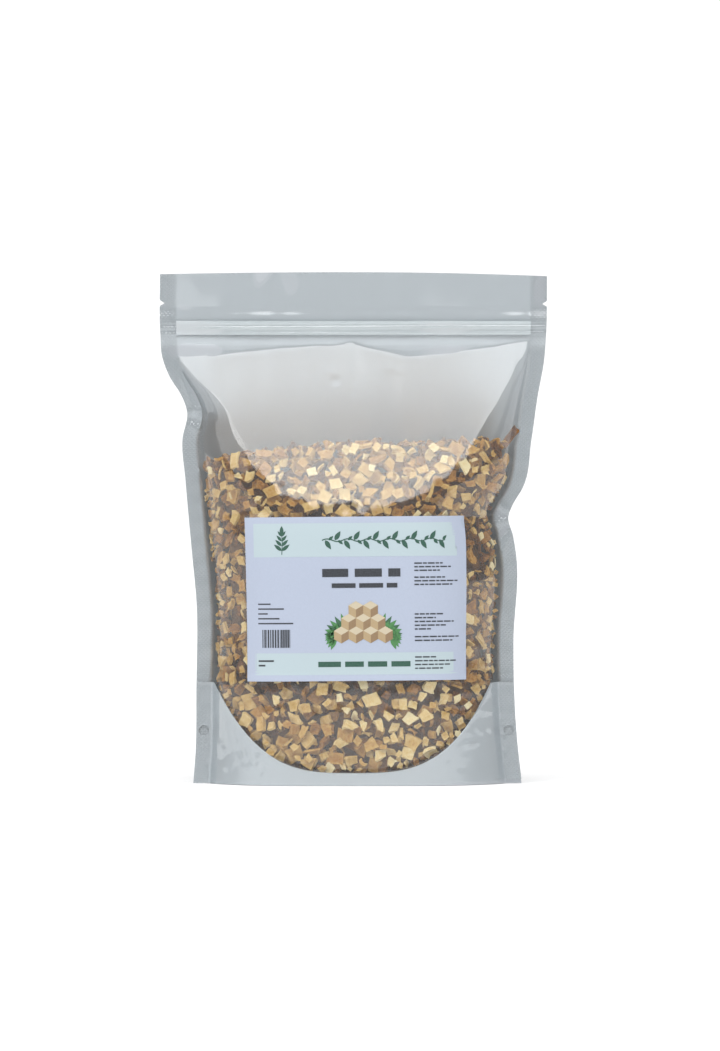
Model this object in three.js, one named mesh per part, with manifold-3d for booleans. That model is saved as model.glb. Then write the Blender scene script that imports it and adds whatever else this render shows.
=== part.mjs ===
// A clear-fronted stand-up pouch filled with diced, dried parsley root.
//
// The pouch is three films heat-sealed together: a clear front panel, a silver back panel and a
// silver bottom gusset that opens so that the pouch stands. A press-to-close zip of two
// interlocking strips lies between the panels near the top, and a paper label is stuck on the
// front. The root inside is thousands of 10 mm cubes that shrank as they dried: the heap is one
// bed, with separate cubes lying on top of it.
//
// Millimetres, +Z up, -Y to the front. The origin is on the ground under the middle of the pouch.

import * as THREE from "three";
import { mergeVertices } from "three/addons/utils/BufferGeometryUtils.js";
import Module from "manifold-3d";

// ---------------------------------------------------------------- driving dimensions

const POUCH_HEIGHT = 330; // standing, bottom edge to top edge
const SEAL_WIDTH = 10; // heat-sealed strip down each side
const FILM = 0.15; // thickness of each film
const GAP = 0.35; // clearance kept between pieces that touch
const GUSSET_RISE = 65; // height of the gusset's fold at the side seals
const FILL_HEIGHT = 217; // level where the films leave the root and lean in
const SHOULDER_HEIGHT = 281; // level where the leaning films meet, just under the zip
const BED_HEIGHT = 203; // top of the bed that the loose cubes lie on
const ZIP_HEIGHT = 294; // centre line of the zip
const NOTCH_HEIGHT = 310.5; // centre line of the tear notches
const LABEL_SIZE = { width: 148, height: 105, thickness: 0.15 };
const LABEL_CENTRE = { x: 2.2, z: 119.5 };
const CUBE_SIDE = 10; // side of a cube as cut, before it shrinks

// The pouch's outline: how far each side edge stands from the middle, at each height. The sides
// draw in where the root bulges the panels, with a pinch on the left at 240 and right at 172.
const LEFT_EDGE = {
  heights: [0, 20, 60, 118, 145, 195, 222, 240, 250, 262, 275, 290, 330],
  reach: [103.5, 102, 101.5, 101.5, 104, 108.5, 110.5, 107.5, 111, 118.5, 123.5, 124.8, 125],
};
const RIGHT_EDGE = {
  heights: [0, 20, 60, 92, 145, 160, 172, 180, 190, 222, 250, 272, 290, 330],
  reach: [108.5, 106.3, 103.8, 103.4, 105.3, 103, 100, 103, 109, 115, 119, 123, 124.5, 125],
};

// How far each panel bulges from the middle plane, at each height of the filled part.
const BELLY = {
  heights: [0, 30, 110, 145, 165, 180, 195, 217],
  reach: [47, 48.2, 48, 47.6, 46.3, 43.4, 39, 31.5],
};
const BELLY_FULLNESS = 4.4; // exponent of the panel's section: higher is flatter in front
const BACK_SHARE = 0.97; // the back panel bulges a little less than the front
const FACET_SHARE = 0.65; // share of the fill's width where the flat leaning facet starts

// Half the distance between the panels' middle surfaces where they are sealed together.
const HALF_SEAL = 0.3;
const HALF_SEAL_GUSSET = 1.15; // two folds of gusset lie between them here
const HALF_SEAL_ZIP = 1.8; // the zip lies between them here
const ZIP_REACH = 5.5; // half the height of the zip's flanges, with clearance

const seeded = (seed) => () => {
  seed = (seed * 1664525 + 1013904223) % 4294967296;
  return seed / 4294967296;
};

const curveThrough = ({ heights, reach }) => {
  const curve = new THREE.CubicInterpolant(heights, reach, 1);
  return (height) => curve.evaluate(THREE.MathUtils.clamp(height, 0, POUCH_HEIGHT))[0];
};

const leftReach = curveThrough(LEFT_EDGE);
const rightReach = curveThrough(RIGHT_EDGE);
const bellyReach = curveThrough(BELLY);

// ---------------------------------------------------------------- shape of the panels

const section = (share) => Math.max(0, 1 - Math.abs(share) ** BELLY_FULLNESS);

// Bulge of a panel at a share of its width (-1 and 1 are the side seals) and a height. Above the
// fill the film runs straight from the belly's edge up to the shoulder: a flat facet in the
// middle, and to each side a cone whose tip is the end of the shoulder.
function bulge(share, height) {
  if (height <= FILL_HEIGHT) return bellyReach(height) * section(share);
  const rise = (height - FILL_HEIGHT) / (SHOULDER_HEIGHT - FILL_HEIGHT);
  if (rise >= 1) return 0;
  const spread = (rightReach(SHOULDER_HEIGHT) - SEAL_WIDTH) / (rightReach(FILL_HEIGHT) - SEAL_WIDTH);
  const across = Math.abs(share) * (1 - rise + rise * spread);
  const facetEdge = (1 - rise) * FACET_SHARE + rise * spread;
  const base =
    across <= facetEdge
      ? across / (1 - rise + (rise * spread) / FACET_SHARE)
      : (across - rise * spread) / (1 - rise);
  return (1 - rise) * bellyReach(FILL_HEIGHT) * section(base);
}

// Half the thickness of what is sealed between the panels at a height.
function halfSeal(height) {
  const gusset = 1 - THREE.MathUtils.smoothstep(height, GUSSET_RISE + 3, GUSSET_RISE + 12);
  const zip = 1 - THREE.MathUtils.smoothstep(Math.abs(height - ZIP_HEIGHT), ZIP_REACH, ZIP_REACH + 3);
  return (
    HALF_SEAL + (HALF_SEAL_GUSSET - HALF_SEAL) * gusset + (HALF_SEAL_ZIP - HALF_SEAL) * zip
  );
}

// Distance from the middle plane to a panel's middle surface, at a place in the front view.
function panelDepth(x, height) {
  const reach = (x < 0 ? leftReach(height) : rightReach(height)) - SEAL_WIDTH;
  return halfSeal(height) + bulge(THREE.MathUtils.clamp(x / reach, -1, 1), height);
}

// A sheet is a segmented box bent so that its width and height follow a surface and its depth
// is the film's thickness. surface(u, v) takes u from -1 to 1 and v from 0 to 1.
function bentBox(columns, rows, layers, place) {
  const geometry = new THREE.BoxGeometry(1, 1, 1, columns, rows, layers);
  const position = geometry.attributes.position;
  const bent = new THREE.Vector3();
  for (let i = 0; i < position.count; i++) {
    place(bent, 2 * position.getX(i), position.getY(i) + 0.5, 2 * position.getZ(i));
    position.setXYZ(i, bent.x, bent.y, bent.z);
  }
  return geometry;
}

const STEP = 1e-3; // for the slopes below, as a share of the sheet
const FAR_FACE = 5; // the box's group of triangles that faces -Z

function sheet(columns, rows, thickness, surface) {
  const [here, left, right, under, over] = Array.from({ length: 5 }, () => new THREE.Vector3());
  const geometry = bentBox(columns, rows, 1, (bent, u, v, w) => {
    surface(here, u, v);
    surface(left, Math.max(-1, u - STEP), v);
    surface(right, Math.min(1, u + STEP), v);
    surface(under, u, Math.max(0, v - STEP));
    surface(over, u, Math.min(1, v + STEP));
    const across = right.sub(here).normalize().add(left.subVectors(here, left).normalize());
    const along = over.sub(here).normalize().add(under.subVectors(here, under).normalize());
    bent.copy(here).addScaledVector(across.cross(along).normalize(), (w * thickness) / 2);
  });
  // Both faces' quads must split along the same diagonals, or the two would cross where they twist.
  const index = geometry.index.array;
  const { start, count } = geometry.groups[FAR_FACE];
  for (let i = start; i < start + count; i += 6) {
    const [a, b, d, , c] = index.slice(i, i + 6);
    index.set([a, b, c, a, c, d], i);
  }
  return geometry;
}

// ---------------------------------------------------------------- materials

const finish = (name, color, roughness, metalness = 0, opacity = 1) =>
  new THREE.MeshStandardMaterial({
    name,
    color,
    roughness,
    metalness,
    opacity,
    transparent: opacity < 1,
  });

const clearFilm = finish("clear_film", "#dfe6e9", 0.08, 0, 0.3);
const silverFilm = finish("silver_film", "#b9bec2", 0.3, 0.9);
const zipPlastic = finish("zip_plastic", "#dde3e6", 0.2, 0, 0.6);
const labelPaper = finish("label_paper", "#e6edf4", 0.6);
const driedRoot = finish("dried_root", "#cbb083", 0.9);

const pouch = new THREE.Group();

function add(name, geometry, material, parent = pouch) {
  const mesh = new THREE.Mesh(geometry, material);
  mesh.name = name;
  parent.add(mesh);
  return mesh;
}

// ---------------------------------------------------------------- cutting with manifold-3d

const solids = await Module();
solids.setup();

function toSolid(geometry) {
  const bare = geometry.clone();
  bare.deleteAttribute("normal");
  bare.deleteAttribute("uv");
  const merged = mergeVertices(bare, 1e-4);
  return new solids.Manifold(
    new solids.Mesh({
      numProp: 3,
      vertProperties: merged.attributes.position.array,
      triVerts: new Uint32Array(merged.index.array),
    }),
  );
}

function toGeometry(solid) {
  const mesh = solid.getMesh();
  return new THREE.BufferGeometry()
    .setAttribute("position", new THREE.BufferAttribute(mesh.vertProperties, 3))
    .setIndex(new THREE.BufferAttribute(mesh.triVerts, 1));
}

const cutFrom = (geometry, tools) =>
  toGeometry(tools.reduce((solid, tool) => solid.subtract(toSolid(tool)), toSolid(geometry)));

// ---------------------------------------------------------------- front and back panels

// Heights of the panel's rows: close together where the film bends around the zip.
const PANEL_ROWS = [
  0, 14, 28, 42, 56, 68, 77, 95, 125, 150, 172, 190, 205, 217, 232, 248, 264, 281, 285.4, 288.6, 299.4,
  302.6, 330,
];
const PANEL_COLUMNS = 22;
const SEAL_COLUMN = 1 - 2 / PANEL_COLUMNS; // one column of the grid for each side seal

// The place across the pouch of a share u of the grid, with one column for each seal.
function acrossPouch(u, height) {
  const outer = u < 0 ? leftReach(height) : rightReach(height);
  const inner = outer - SEAL_WIDTH;
  const share = Math.abs(u);
  const reach =
    share <= SEAL_COLUMN
      ? (share / SEAL_COLUMN) * inner
      : inner + ((share - SEAL_COLUMN) / (1 - SEAL_COLUMN)) * SEAL_WIDTH;
  return Math.sign(u) * reach;
}

const panelHeight = (v) => {
  const row = v * (PANEL_ROWS.length - 1);
  const under = Math.min(Math.floor(row), PANEL_ROWS.length - 2);
  return THREE.MathUtils.lerp(PANEL_ROWS[under], PANEL_ROWS[under + 1], row - under);
};

const panel = (side, share) =>
  sheet(PANEL_COLUMNS, PANEL_ROWS.length - 1, FILM, (point, u, v) => {
    const height = panelHeight(v);
    const x = acrossPouch(u, height);
    const seal = halfSeal(height);
    point.set(x, side * (seal + (panelDepth(x, height) - seal) * share), height);
  });

// A tear notch is a three-sided nick in the edge of both panels.
const NOTCH_DEPTH = 3.2;
const NOTCH_HALF_HEIGHT = 2;
const NOTCH_RUN_OUT = 2; // how far the tools stand out past the edge, or through the panels

function notchTools() {
  return [-1, 1].map((side) => {
    const reach = side < 0 ? leftReach(NOTCH_HEIGHT) : rightReach(NOTCH_HEIGHT);
    const mouth = NOTCH_HALF_HEIGHT * (1 + NOTCH_RUN_OUT / NOTCH_DEPTH);
    const outline = new THREE.Shape([
      new THREE.Vector2(-NOTCH_DEPTH, 0),
      new THREE.Vector2(NOTCH_RUN_OUT, -mouth),
      new THREE.Vector2(NOTCH_RUN_OUT, mouth),
    ]);
    const tool = new THREE.ExtrudeGeometry(outline, { depth: 2 * NOTCH_RUN_OUT, bevelEnabled: false });
    tool.translate(0, 0, -NOTCH_RUN_OUT);
    tool.rotateX(Math.PI / 2);
    if (side < 0) tool.rotateY(Math.PI);
    tool.translate(side * reach, 0, NOTCH_HEIGHT);
    return tool;
  });
}

add("front_panel", cutFrom(panel(-1, 1), notchTools()), clearFilm);
add("back_panel", cutFrom(panel(1, BACK_SHARE), notchTools()), silverFilm);

// ---------------------------------------------------------------- bottom gusset

const ARC_FOOT = 8; // height of the curved seal in the middle of the panel
const ARC_HALF_WIDTH = 90;
const ARC_POWER = 3.1;
const FLAT_HALF_WIDTH = 38; // half the length of the flat that rests on the ground
const FOLD_POWER = 2.4;
const FLOOR_POWER = 6; // how squarely the floor turns up into the gusset's legs

// Height of the curved seal that joins the gusset to a panel.
const arcHeight = (x) =>
  Math.min(
    GUSSET_RISE,
    ARC_FOOT + (GUSSET_RISE - ARC_FOOT) * (Math.abs(x) / ARC_HALF_WIDTH) ** ARC_POWER,
  );

// Height of the gusset's fold line, which lies on the ground in the middle.
const foldHeight = (x) => {
  const share = (Math.abs(x) - FLAT_HALF_WIDTH) / (ARC_HALF_WIDTH - FLAT_HALF_WIDTH);
  return FILM / 2 + (GUSSET_RISE - FILM / 2) * THREE.MathUtils.clamp(share, 0, 1) ** FOLD_POWER;
};

const GUSSET_ROWS = { leg: 4, floor: 10 };
const gussetRowCount = 2 * GUSSET_ROWS.leg + GUSSET_ROWS.floor;
const LEG_OFFSET = FILM + GAP; // from the panel's middle surface to the gusset's

// How far the gusset's leg stands from the middle plane.
const legDepth = (x, height, share) => {
  const seal = halfSeal(height);
  const slope = (panelDepth(x + 0.5, height) - panelDepth(x - 0.5, height)) * share;
  const offset = LEG_OFFSET * Math.hypot(1, slope);
  const depth = seal + (panelDepth(x, height) - seal) * share - offset;
  return Math.max(HALF_SEAL_GUSSET - LEG_OFFSET - 0.05, depth);
};

// One sheet that runs up the front panel to the curved seal, across the floor of the pouch and
// down the back panel.
function gussetPoint(point, u, v) {
  const row = v * gussetRowCount;
  const x = acrossPouch(u, 30);
  const inSeal = Math.abs(u) >= SEAL_COLUMN;
  const top = inSeal ? GUSSET_RISE : arcHeight(x);
  const legShare = Math.min(row, gussetRowCount - row) / GUSSET_ROWS.leg;
  if (legShare < 1) {
    const height = top * legShare;
    const side = row < gussetRowCount / 2 ? -1 : 1;
    const place = acrossPouch(u, height);
    return point.set(place, side * legDepth(place, height, side < 0 ? 1 : BACK_SHARE), height);
  }
  const place = acrossPouch(u, top);
  const across = (row - GUSSET_ROWS.leg) / GUSSET_ROWS.floor;
  const front = -legDepth(place, top, 1);
  const back = legDepth(place, top, BACK_SHARE);
  const spread = 2 * across - 1;
  const fold = inSeal ? GUSSET_RISE : Math.min(foldHeight(x), top);
  const height = fold + (top - fold) * Math.abs(spread) ** FLOOR_POWER;
  return point.set(place, THREE.MathUtils.lerp(front, back, across), height);
}

const TACK_RADIUS = 3.4; // holes where the panels are tacked to each other through the gusset
const TACK_HEIGHT = 34;

const tackTools = () =>
  [-1, 1].map((side) => {
    const reach = side < 0 ? leftReach(TACK_HEIGHT) : rightReach(TACK_HEIGHT);
    const tool = new THREE.CylinderGeometry(TACK_RADIUS, TACK_RADIUS, 10, 20);
    tool.translate(side * (reach - SEAL_WIDTH / 2), 0, TACK_HEIGHT);
    return tool;
  });

add(
  "bottom_gusset",
  cutFrom(sheet(PANEL_COLUMNS, gussetRowCount, FILM, gussetPoint), tackTools()),
  silverFilm,
);

// ---------------------------------------------------------------- press-to-close zip

const ZIP_LENGTH = 229;
const FLANGE = 0.3; // thickness of the strip that is welded to the panel
const FLANGE_FACE = 1.05; // how far the strips' inner faces stand from the middle plane
const FLANGE_HALF_HEIGHT = 4.5;

// Outlines of the two strips, as [distance towards the front, height].
const channelOutline = [
  [FLANGE_FACE + FLANGE, -FLANGE_HALF_HEIGHT],
  [FLANGE_FACE + FLANGE, FLANGE_HALF_HEIGHT],
  [FLANGE_FACE, FLANGE_HALF_HEIGHT],
  [FLANGE_FACE, 1.8],
  [-0.45, 1.8],
  [-0.45, 0.75],
  [0, 0.75],
  [0, 1.15],
  [FLANGE_FACE, 1.15],
  [FLANGE_FACE, -1.15],
  [0, -1.15],
  [0, -0.75],
  [-0.45, -0.75],
  [-0.45, -1.8],
  [FLANGE_FACE, -1.8],
  [FLANGE_FACE, -FLANGE_HALF_HEIGHT],
];
const arrowOutline = [
  [-FLANGE_FACE - FLANGE, FLANGE_HALF_HEIGHT],
  [-FLANGE_FACE - FLANGE, -FLANGE_HALF_HEIGHT],
  [-FLANGE_FACE, -FLANGE_HALF_HEIGHT],
  [-FLANGE_FACE, -0.35],
  [0.3, -0.35],
  [0.3, -0.8],
  [0.72, 0],
  [0.3, 0.8],
  [0.3, 0.35],
  [-FLANGE_FACE, 0.35],
  [-FLANGE_FACE, FLANGE_HALF_HEIGHT],
];

function zipStrip(outline) {
  const shape = new THREE.Shape(outline.map(([front, height]) => new THREE.Vector2(front, height)));
  const strip = new THREE.ExtrudeGeometry(shape, { depth: ZIP_LENGTH, bevelEnabled: false });
  strip.translate(0, 0, -ZIP_LENGTH / 2);
  strip.applyMatrix4(
    new THREE.Matrix4().makeBasis(
      new THREE.Vector3(0, -1, 0),
      new THREE.Vector3(0, 0, 1),
      new THREE.Vector3(-1, 0, 0),
    ),
  );
  return strip;
}

const zip = new THREE.Group();
zip.position.z = ZIP_HEIGHT;
pouch.add(zip);
add("zip_channel_strip", zipStrip(channelOutline), zipPlastic, zip);
add("zip_arrow_strip", zipStrip(arrowOutline), zipPlastic, zip);

// ---------------------------------------------------------------- label

// Places across the belly, a given distance along the film from the label's centre line.
function alongFilm(distance, height) {
  const step = Math.sign(distance) * 1;
  let x = LABEL_CENTRE.x;
  for (let left = Math.abs(distance); left > 0; ) {
    const rise = panelDepth(x + step, height) - panelDepth(x, height);
    const length = Math.hypot(step, rise);
    x += step * Math.min(1, left / length);
    left -= length;
  }
  return x;
}

const LABEL_SLACK = 0.15; // extra clearance, as the label has fewer columns than the panel
const LABEL_OFFSET = FILM / 2 + GAP + LABEL_SLACK + LABEL_SIZE.thickness / 2;

const label = sheet(14, 8, LABEL_SIZE.thickness, (point, u, v) => {
  const height = LABEL_CENTRE.z + (v - 0.5) * LABEL_SIZE.height;
  const x = alongFilm((u * LABEL_SIZE.width) / 2, height);
  const slope = panelDepth(x + 0.5, height) - panelDepth(x - 0.5, height);
  point.set(x, -panelDepth(x, height) - LABEL_OFFSET * Math.hypot(1, slope), height);
});
add("front_label", label, labelPaper);

// ---------------------------------------------------------------- bed of diced root

const BED_CLEARANCE = 2.5;
const BED_SHARE = 0.88; // share of the pouch's inner width that the bed fills
const BED_FOOT_SHARE = 0.94; // how much narrower the bed is at its foot, front to back
const BED_FLOOR_POWER = 4; // rounder than the gusset's floor, to stay clear of its corners

// Height of the gusset under a place inside the pouch.
function floorHeight(x, y) {
  const top = arcHeight(x);
  const fold = Math.min(foldHeight(x), top);
  const spread = THREE.MathUtils.clamp(Math.abs(y) / Math.max(1, legDepth(x, top, 1)), 0, 1);
  return fold + (top - fold) * spread ** BED_FLOOR_POWER;
}

const bed = bentBox(18, 12, 6, (point, u, v, w) => {
  const inner = (u < 0 ? leftReach : rightReach)(v * BED_HEIGHT) - SEAL_WIDTH;
  const x = u * inner * BED_SHARE;
  const height = THREE.MathUtils.lerp(arcHeight(x) + 2 * BED_CLEARANCE, BED_HEIGHT, v);
  const share = w > 0 ? 1 : BACK_SHARE;
  const depth = (panelDepth(x, height) - halfSeal(height)) * share - BED_CLEARANCE;
  const y = -w * depth * (v === 0 ? BED_FOOT_SHARE : 1);
  const bottom = floorHeight(x, y) + 1.4 * BED_CLEARANCE;
  point.set(x, y, v === 0 ? Math.min(bottom, height) : height);
});
add("root_bed", bed, driedRoot);

// ---------------------------------------------------------------- loose cubes on the bed

const CUBE_PITCH = 15; // the cubes' turning circles just clear each other
const MOST_CUBES = 50;
const random = seeded(7);
const between = (low, high) => low + (high - low) * random();

// A dried cube: its faces have sunk in and its corners stand out.
function driedCube() {
  const size = [between(0.8, 0.95), between(0.75, 0.95), between(0.4, 0.62)];
  const sink = [between(0.1, 0.22), between(0.1, 0.22), between(0.15, 0.35)];
  const lean = between(-0.12, 0.12);
  return bentBox(2, 2, 2, (point, u, v, w) => {
    const place = [u, 2 * v - 1, w];
    const sunk = place.map((along, axis) => {
      const [a, b] = place.filter((_, other) => other !== axis);
      return along * (1 - sink[axis] * (1 - (a * a + b * b) / 2));
    });
    point.set(
      (sunk[0] + lean * sunk[2]) * size[0],
      sunk[1] * size[1],
      (sunk[2] + lean * sunk[0] * sunk[1]) * size[2],
    );
    point.multiplyScalar(CUBE_SIDE / 2);
  });
}

// Whether a cube's turning circle at a place on the bed stays clear of both panels.
function fitsOnBed(x, y) {
  const radius = CUBE_PITCH / 2 - 0.2;
  const height = BED_HEIGHT + 11;
  return [-1, 1].every((side) => {
    const place = x + side * radius;
    const share = y < 0 ? 1 : BACK_SHARE;
    return (panelDepth(place, height) - halfSeal(height)) * share > Math.abs(y) + radius;
  });
}

const looseRoot = new THREE.Group();
pouch.add(looseRoot);
let cubes = 0;
for (let row = -2; row <= 2; row++) {
  for (let column = -7; column <= 7; column++) {
    const x = (column + (row % 2 ? 0.5 : 0)) * CUBE_PITCH;
    const y = row * CUBE_PITCH * 0.9;
    if (!fitsOnBed(x, y) || cubes >= MOST_CUBES) continue;
    cubes += 1;
    const geometry = driedCube();
    const turn = new THREE.Euler(between(-0.2, 0.2), between(-0.2, 0.2), between(0, Math.PI));
    geometry.applyMatrix4(new THREE.Matrix4().makeRotationFromEuler(turn));
    geometry.computeBoundingBox();
    const name = `root_cube_${String(cubes).padStart(2, "0")}`;
    const cube = add(name, geometry, driedRoot, looseRoot);
    cube.position.set(x, y, BED_HEIGHT + GAP - geometry.boundingBox.min.z);
  }
}

export default pouch;
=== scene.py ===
"""The looks of a filled stand-up pouch: a clear front film, a silver back and bottom gusset, a
press-to-close zip, a paper label, and diced and dried parsley root inside.

Sizes are in millimetres in the classes and turned to metres where a mesh is placed. The pouch
stands on the ground with its clear side towards -Y.
"""

import logging
import math
from collections.abc import Callable, Sequence
from dataclasses import dataclass, field
from enum import Enum

import bpy
import numpy as np
from mathutils import Euler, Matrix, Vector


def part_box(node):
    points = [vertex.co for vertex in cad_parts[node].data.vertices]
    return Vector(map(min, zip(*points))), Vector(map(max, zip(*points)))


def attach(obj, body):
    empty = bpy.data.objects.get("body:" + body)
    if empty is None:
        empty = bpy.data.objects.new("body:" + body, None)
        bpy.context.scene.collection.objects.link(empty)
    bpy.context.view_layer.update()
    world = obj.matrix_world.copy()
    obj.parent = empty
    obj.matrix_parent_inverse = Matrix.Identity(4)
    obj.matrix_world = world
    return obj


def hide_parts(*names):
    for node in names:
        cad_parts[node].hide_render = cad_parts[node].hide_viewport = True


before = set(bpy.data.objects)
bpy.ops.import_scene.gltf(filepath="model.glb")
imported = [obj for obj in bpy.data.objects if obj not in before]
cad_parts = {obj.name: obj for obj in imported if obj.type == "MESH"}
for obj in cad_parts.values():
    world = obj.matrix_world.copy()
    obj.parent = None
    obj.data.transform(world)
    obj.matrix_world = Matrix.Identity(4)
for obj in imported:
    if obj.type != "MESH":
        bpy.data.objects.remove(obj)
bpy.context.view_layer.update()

log = logging.getLogger("pouch")

MM = 0.001
ROOT_BODY = "root"
# The sealing jaws' knurl, drawn coarser than the real 1.1 mm so that it shows.
SEAL_PITCH = 1.8
SEAL_DEPTH = 0.1


# ---------------------------------------------------------------- small helpers


def srgb(code: str) -> tuple[float, float, float, float]:
    """Turns a hex sRGB colour into the linear one that shaders take.

    Args:
        code: Six hex digits after a hash.

    Returns:
        Linear red, green and blue, and an alpha of 1.
    """
    parts = [int(code[i : i + 2], 16) / 255 for i in (1, 3, 5)]
    linear = [p / 12.92 if p <= 0.04045 else ((p + 0.055) / 1.055) ** 2.4 for p in parts]
    return (*linear, 1.0)


def add_node(
    tree: bpy.types.NodeTree,
    kind: str,
    inputs: dict | None = None,
    stops: dict[float, str] | None = None,
    **settings: object,
) -> bpy.types.Node:
    """Adds a node with its settings, and sets or links its inputs.

    Args:
        tree: The node tree.
        kind: The node's type, without its ShaderNode prefix.
        inputs: Input name or number to a value, or to an output socket to link from.
        stops: A colour ramp's places, from 0 to 1 and in order, to their hex colours.
        **settings: The node's own properties.

    Returns:
        The new node.
    """
    node = tree.nodes.new("ShaderNode" + kind)
    for name, value in settings.items():
        setattr(node, name, value)
    for name, value in (inputs or {}).items():
        if isinstance(value, bpy.types.NodeSocket):
            tree.links.new(value, node.inputs[name])
        else:
            node.inputs[name].default_value = value
    if stops:
        elements = node.color_ramp.elements
        while len(elements) < len(stops):
            elements.new(0.5)
        for element, (at, code) in zip(elements, stops.items()):
            element.position, element.color = at, srgb(code)
    return node


def smoothstep(value: np.ndarray, low: float, high: float) -> np.ndarray:
    """Rises smoothly from 0 at low to 1 at high."""
    t = np.clip((value - low) / (high - low), 0, 1)
    return t * t * (3 - 2 * t)


def ripples(x: np.ndarray, z: np.ndarray, wavelength: float, rise: float, seed: int) -> np.ndarray:
    """Sums a few plane waves in scattered directions, for the slack of a film.

    Args:
        x: Places across, in millimetres.
        z: Heights, in millimetres.
        wavelength: The waves' usual length, in millimetres.
        rise: Their usual height, in millimetres.
        seed: Picks the directions and phases.

    Returns:
        The height at each place.
    """
    count = 7
    rng = np.random.default_rng(seed)
    turns = rng.uniform(0, math.pi, count)
    phases = rng.uniform(0, 2 * math.pi, count)
    lengths = wavelength * rng.uniform(0.7, 1.4, count)
    total = np.zeros(np.broadcast(x, z).shape)
    for turn, phase, length in zip(turns, phases, lengths):
        total += np.sin((x * math.cos(turn) + z * math.sin(turn)) * 2 * math.pi / length + phase)
    return rise * total / math.sqrt(count)


def coordinates(mesh: bpy.types.Mesh) -> np.ndarray:
    """Reads a mesh's vertices.

    Args:
        mesh: The mesh.

    Returns:
        One row of x, y and z a vertex.
    """
    flat = np.empty(len(mesh.vertices) * 3)
    mesh.vertices.foreach_get("co", flat)
    return flat.reshape(-1, 3)


def place(mesh: bpy.types.Mesh, points: np.ndarray) -> None:
    """Moves a mesh's vertices to points given in millimetres."""
    mesh.vertices.foreach_set("co", (points * MM).ravel())
    mesh.update()


def attribute(mesh: bpy.types.Mesh, name: str, kind: str, values: np.ndarray) -> None:
    """Stores one value a vertex.

    Args:
        mesh: The mesh.
        name: The attribute's name, as the materials read it.
        kind: FLOAT or FLOAT_VECTOR.
        values: One row a vertex.
    """
    key = "vector" if kind == "FLOAT_VECTOR" else "value"
    layer = mesh.attributes.new(name, kind, "POINT")
    layer.data.foreach_set(key, np.asarray(values, np.float32).ravel())


def name_new(name: str) -> bpy.types.Object:
    """Names the primitive that was just added and moves its place into its mesh.

    Args:
        name: The object's name, and its mesh's.

    Returns:
        The object.
    """
    obj = bpy.context.active_object
    obj.name = obj.data.name = name
    bpy.ops.object.transform_apply(location=True, rotation=True, scale=True)
    return obj


def add_grid(name: str, columns: int, rows: int) -> bpy.types.Object:
    """Adds a flat grid from -1 to 1 both ways.

    Args:
        name: The object's name.
        columns: How many faces it has across.
        rows: How many it has upwards.

    Returns:
        The object.
    """
    bpy.ops.object.select_all(action="DESELECT")
    bpy.ops.mesh.primitive_grid_add(x_subdivisions=columns, y_subdivisions=rows, size=2)
    return name_new(name)


def thicken(obj: bpy.types.Object, thickness: float) -> None:
    """Gives a sheet its thickness, half to each side.

    Args:
        obj: The sheet.
        thickness: Its thickness, in millimetres.
    """
    bpy.context.view_layer.objects.active = obj
    shell = obj.modifiers.new("thickness", "SOLIDIFY")
    shell.thickness = thickness * MM
    shell.offset = 0
    bpy.ops.object.modifier_apply(modifier=shell.name)


def smooth(obj: bpy.types.Object, degrees: float) -> None:
    """Shades a piece smooth, except across its sharper edges.

    Args:
        obj: The piece.
        degrees: The sharpest edge that is still shaded smooth.
    """
    bpy.ops.object.select_all(action="DESELECT")
    obj.select_set(True)
    bpy.context.view_layer.objects.active = obj
    bpy.ops.object.shade_smooth_by_angle(angle=math.radians(degrees))


def finish_piece(obj: bpy.types.Object, material: bpy.types.Material, slot: str, *stands_for: str) -> None:
    """Dresses a finished piece and ties it to the frame.

    Args:
        obj: The piece.
        material: What it is made of.
        slot: The record's material slot that it belongs to; not used.
        *stands_for: The CAD nodes that it is shown instead of.
    """
    obj.data.materials.clear()
    obj.data.materials.append(material)
    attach(obj, ROOT_BODY)
    if stands_for:
        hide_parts(*stands_for)
    log.info("%s: %d faces", obj.name, len(obj.data.polygons))


# ---------------------------------------------------------------- the pouch's form


class Side(Enum):
    """Which panel of the pouch: the clear one in front or the silver one behind."""

    FRONT = -1
    BACK = 1


@dataclass(frozen=True)
class Profile:
    """A smooth curve through a few given places."""

    at: tuple[float, ...]
    value: tuple[float, ...]

    def __call__(self, where: np.ndarray) -> np.ndarray:
        """Reads the curve.

        Args:
            where: Places along it; past its ends it stays level.

        Returns:
            Its value at each place.
        """
        knots, values = np.array(self.at), np.array(self.value)
        slopes = np.gradient(values, knots)
        where = np.clip(where, knots[0], knots[-1])
        i = np.clip(np.searchsorted(knots, where, side="right") - 1, 0, len(knots) - 2)
        span = knots[i + 1] - knots[i]
        t = (where - knots[i]) / span
        return (
            values[i] * (1 + 2 * t) * (1 - t) ** 2
            + slopes[i] * span * t * (1 - t) ** 2
            + values[i + 1] * t * t * (3 - 2 * t)
            + slopes[i + 1] * span * t * t * (t - 1)
        )


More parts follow.
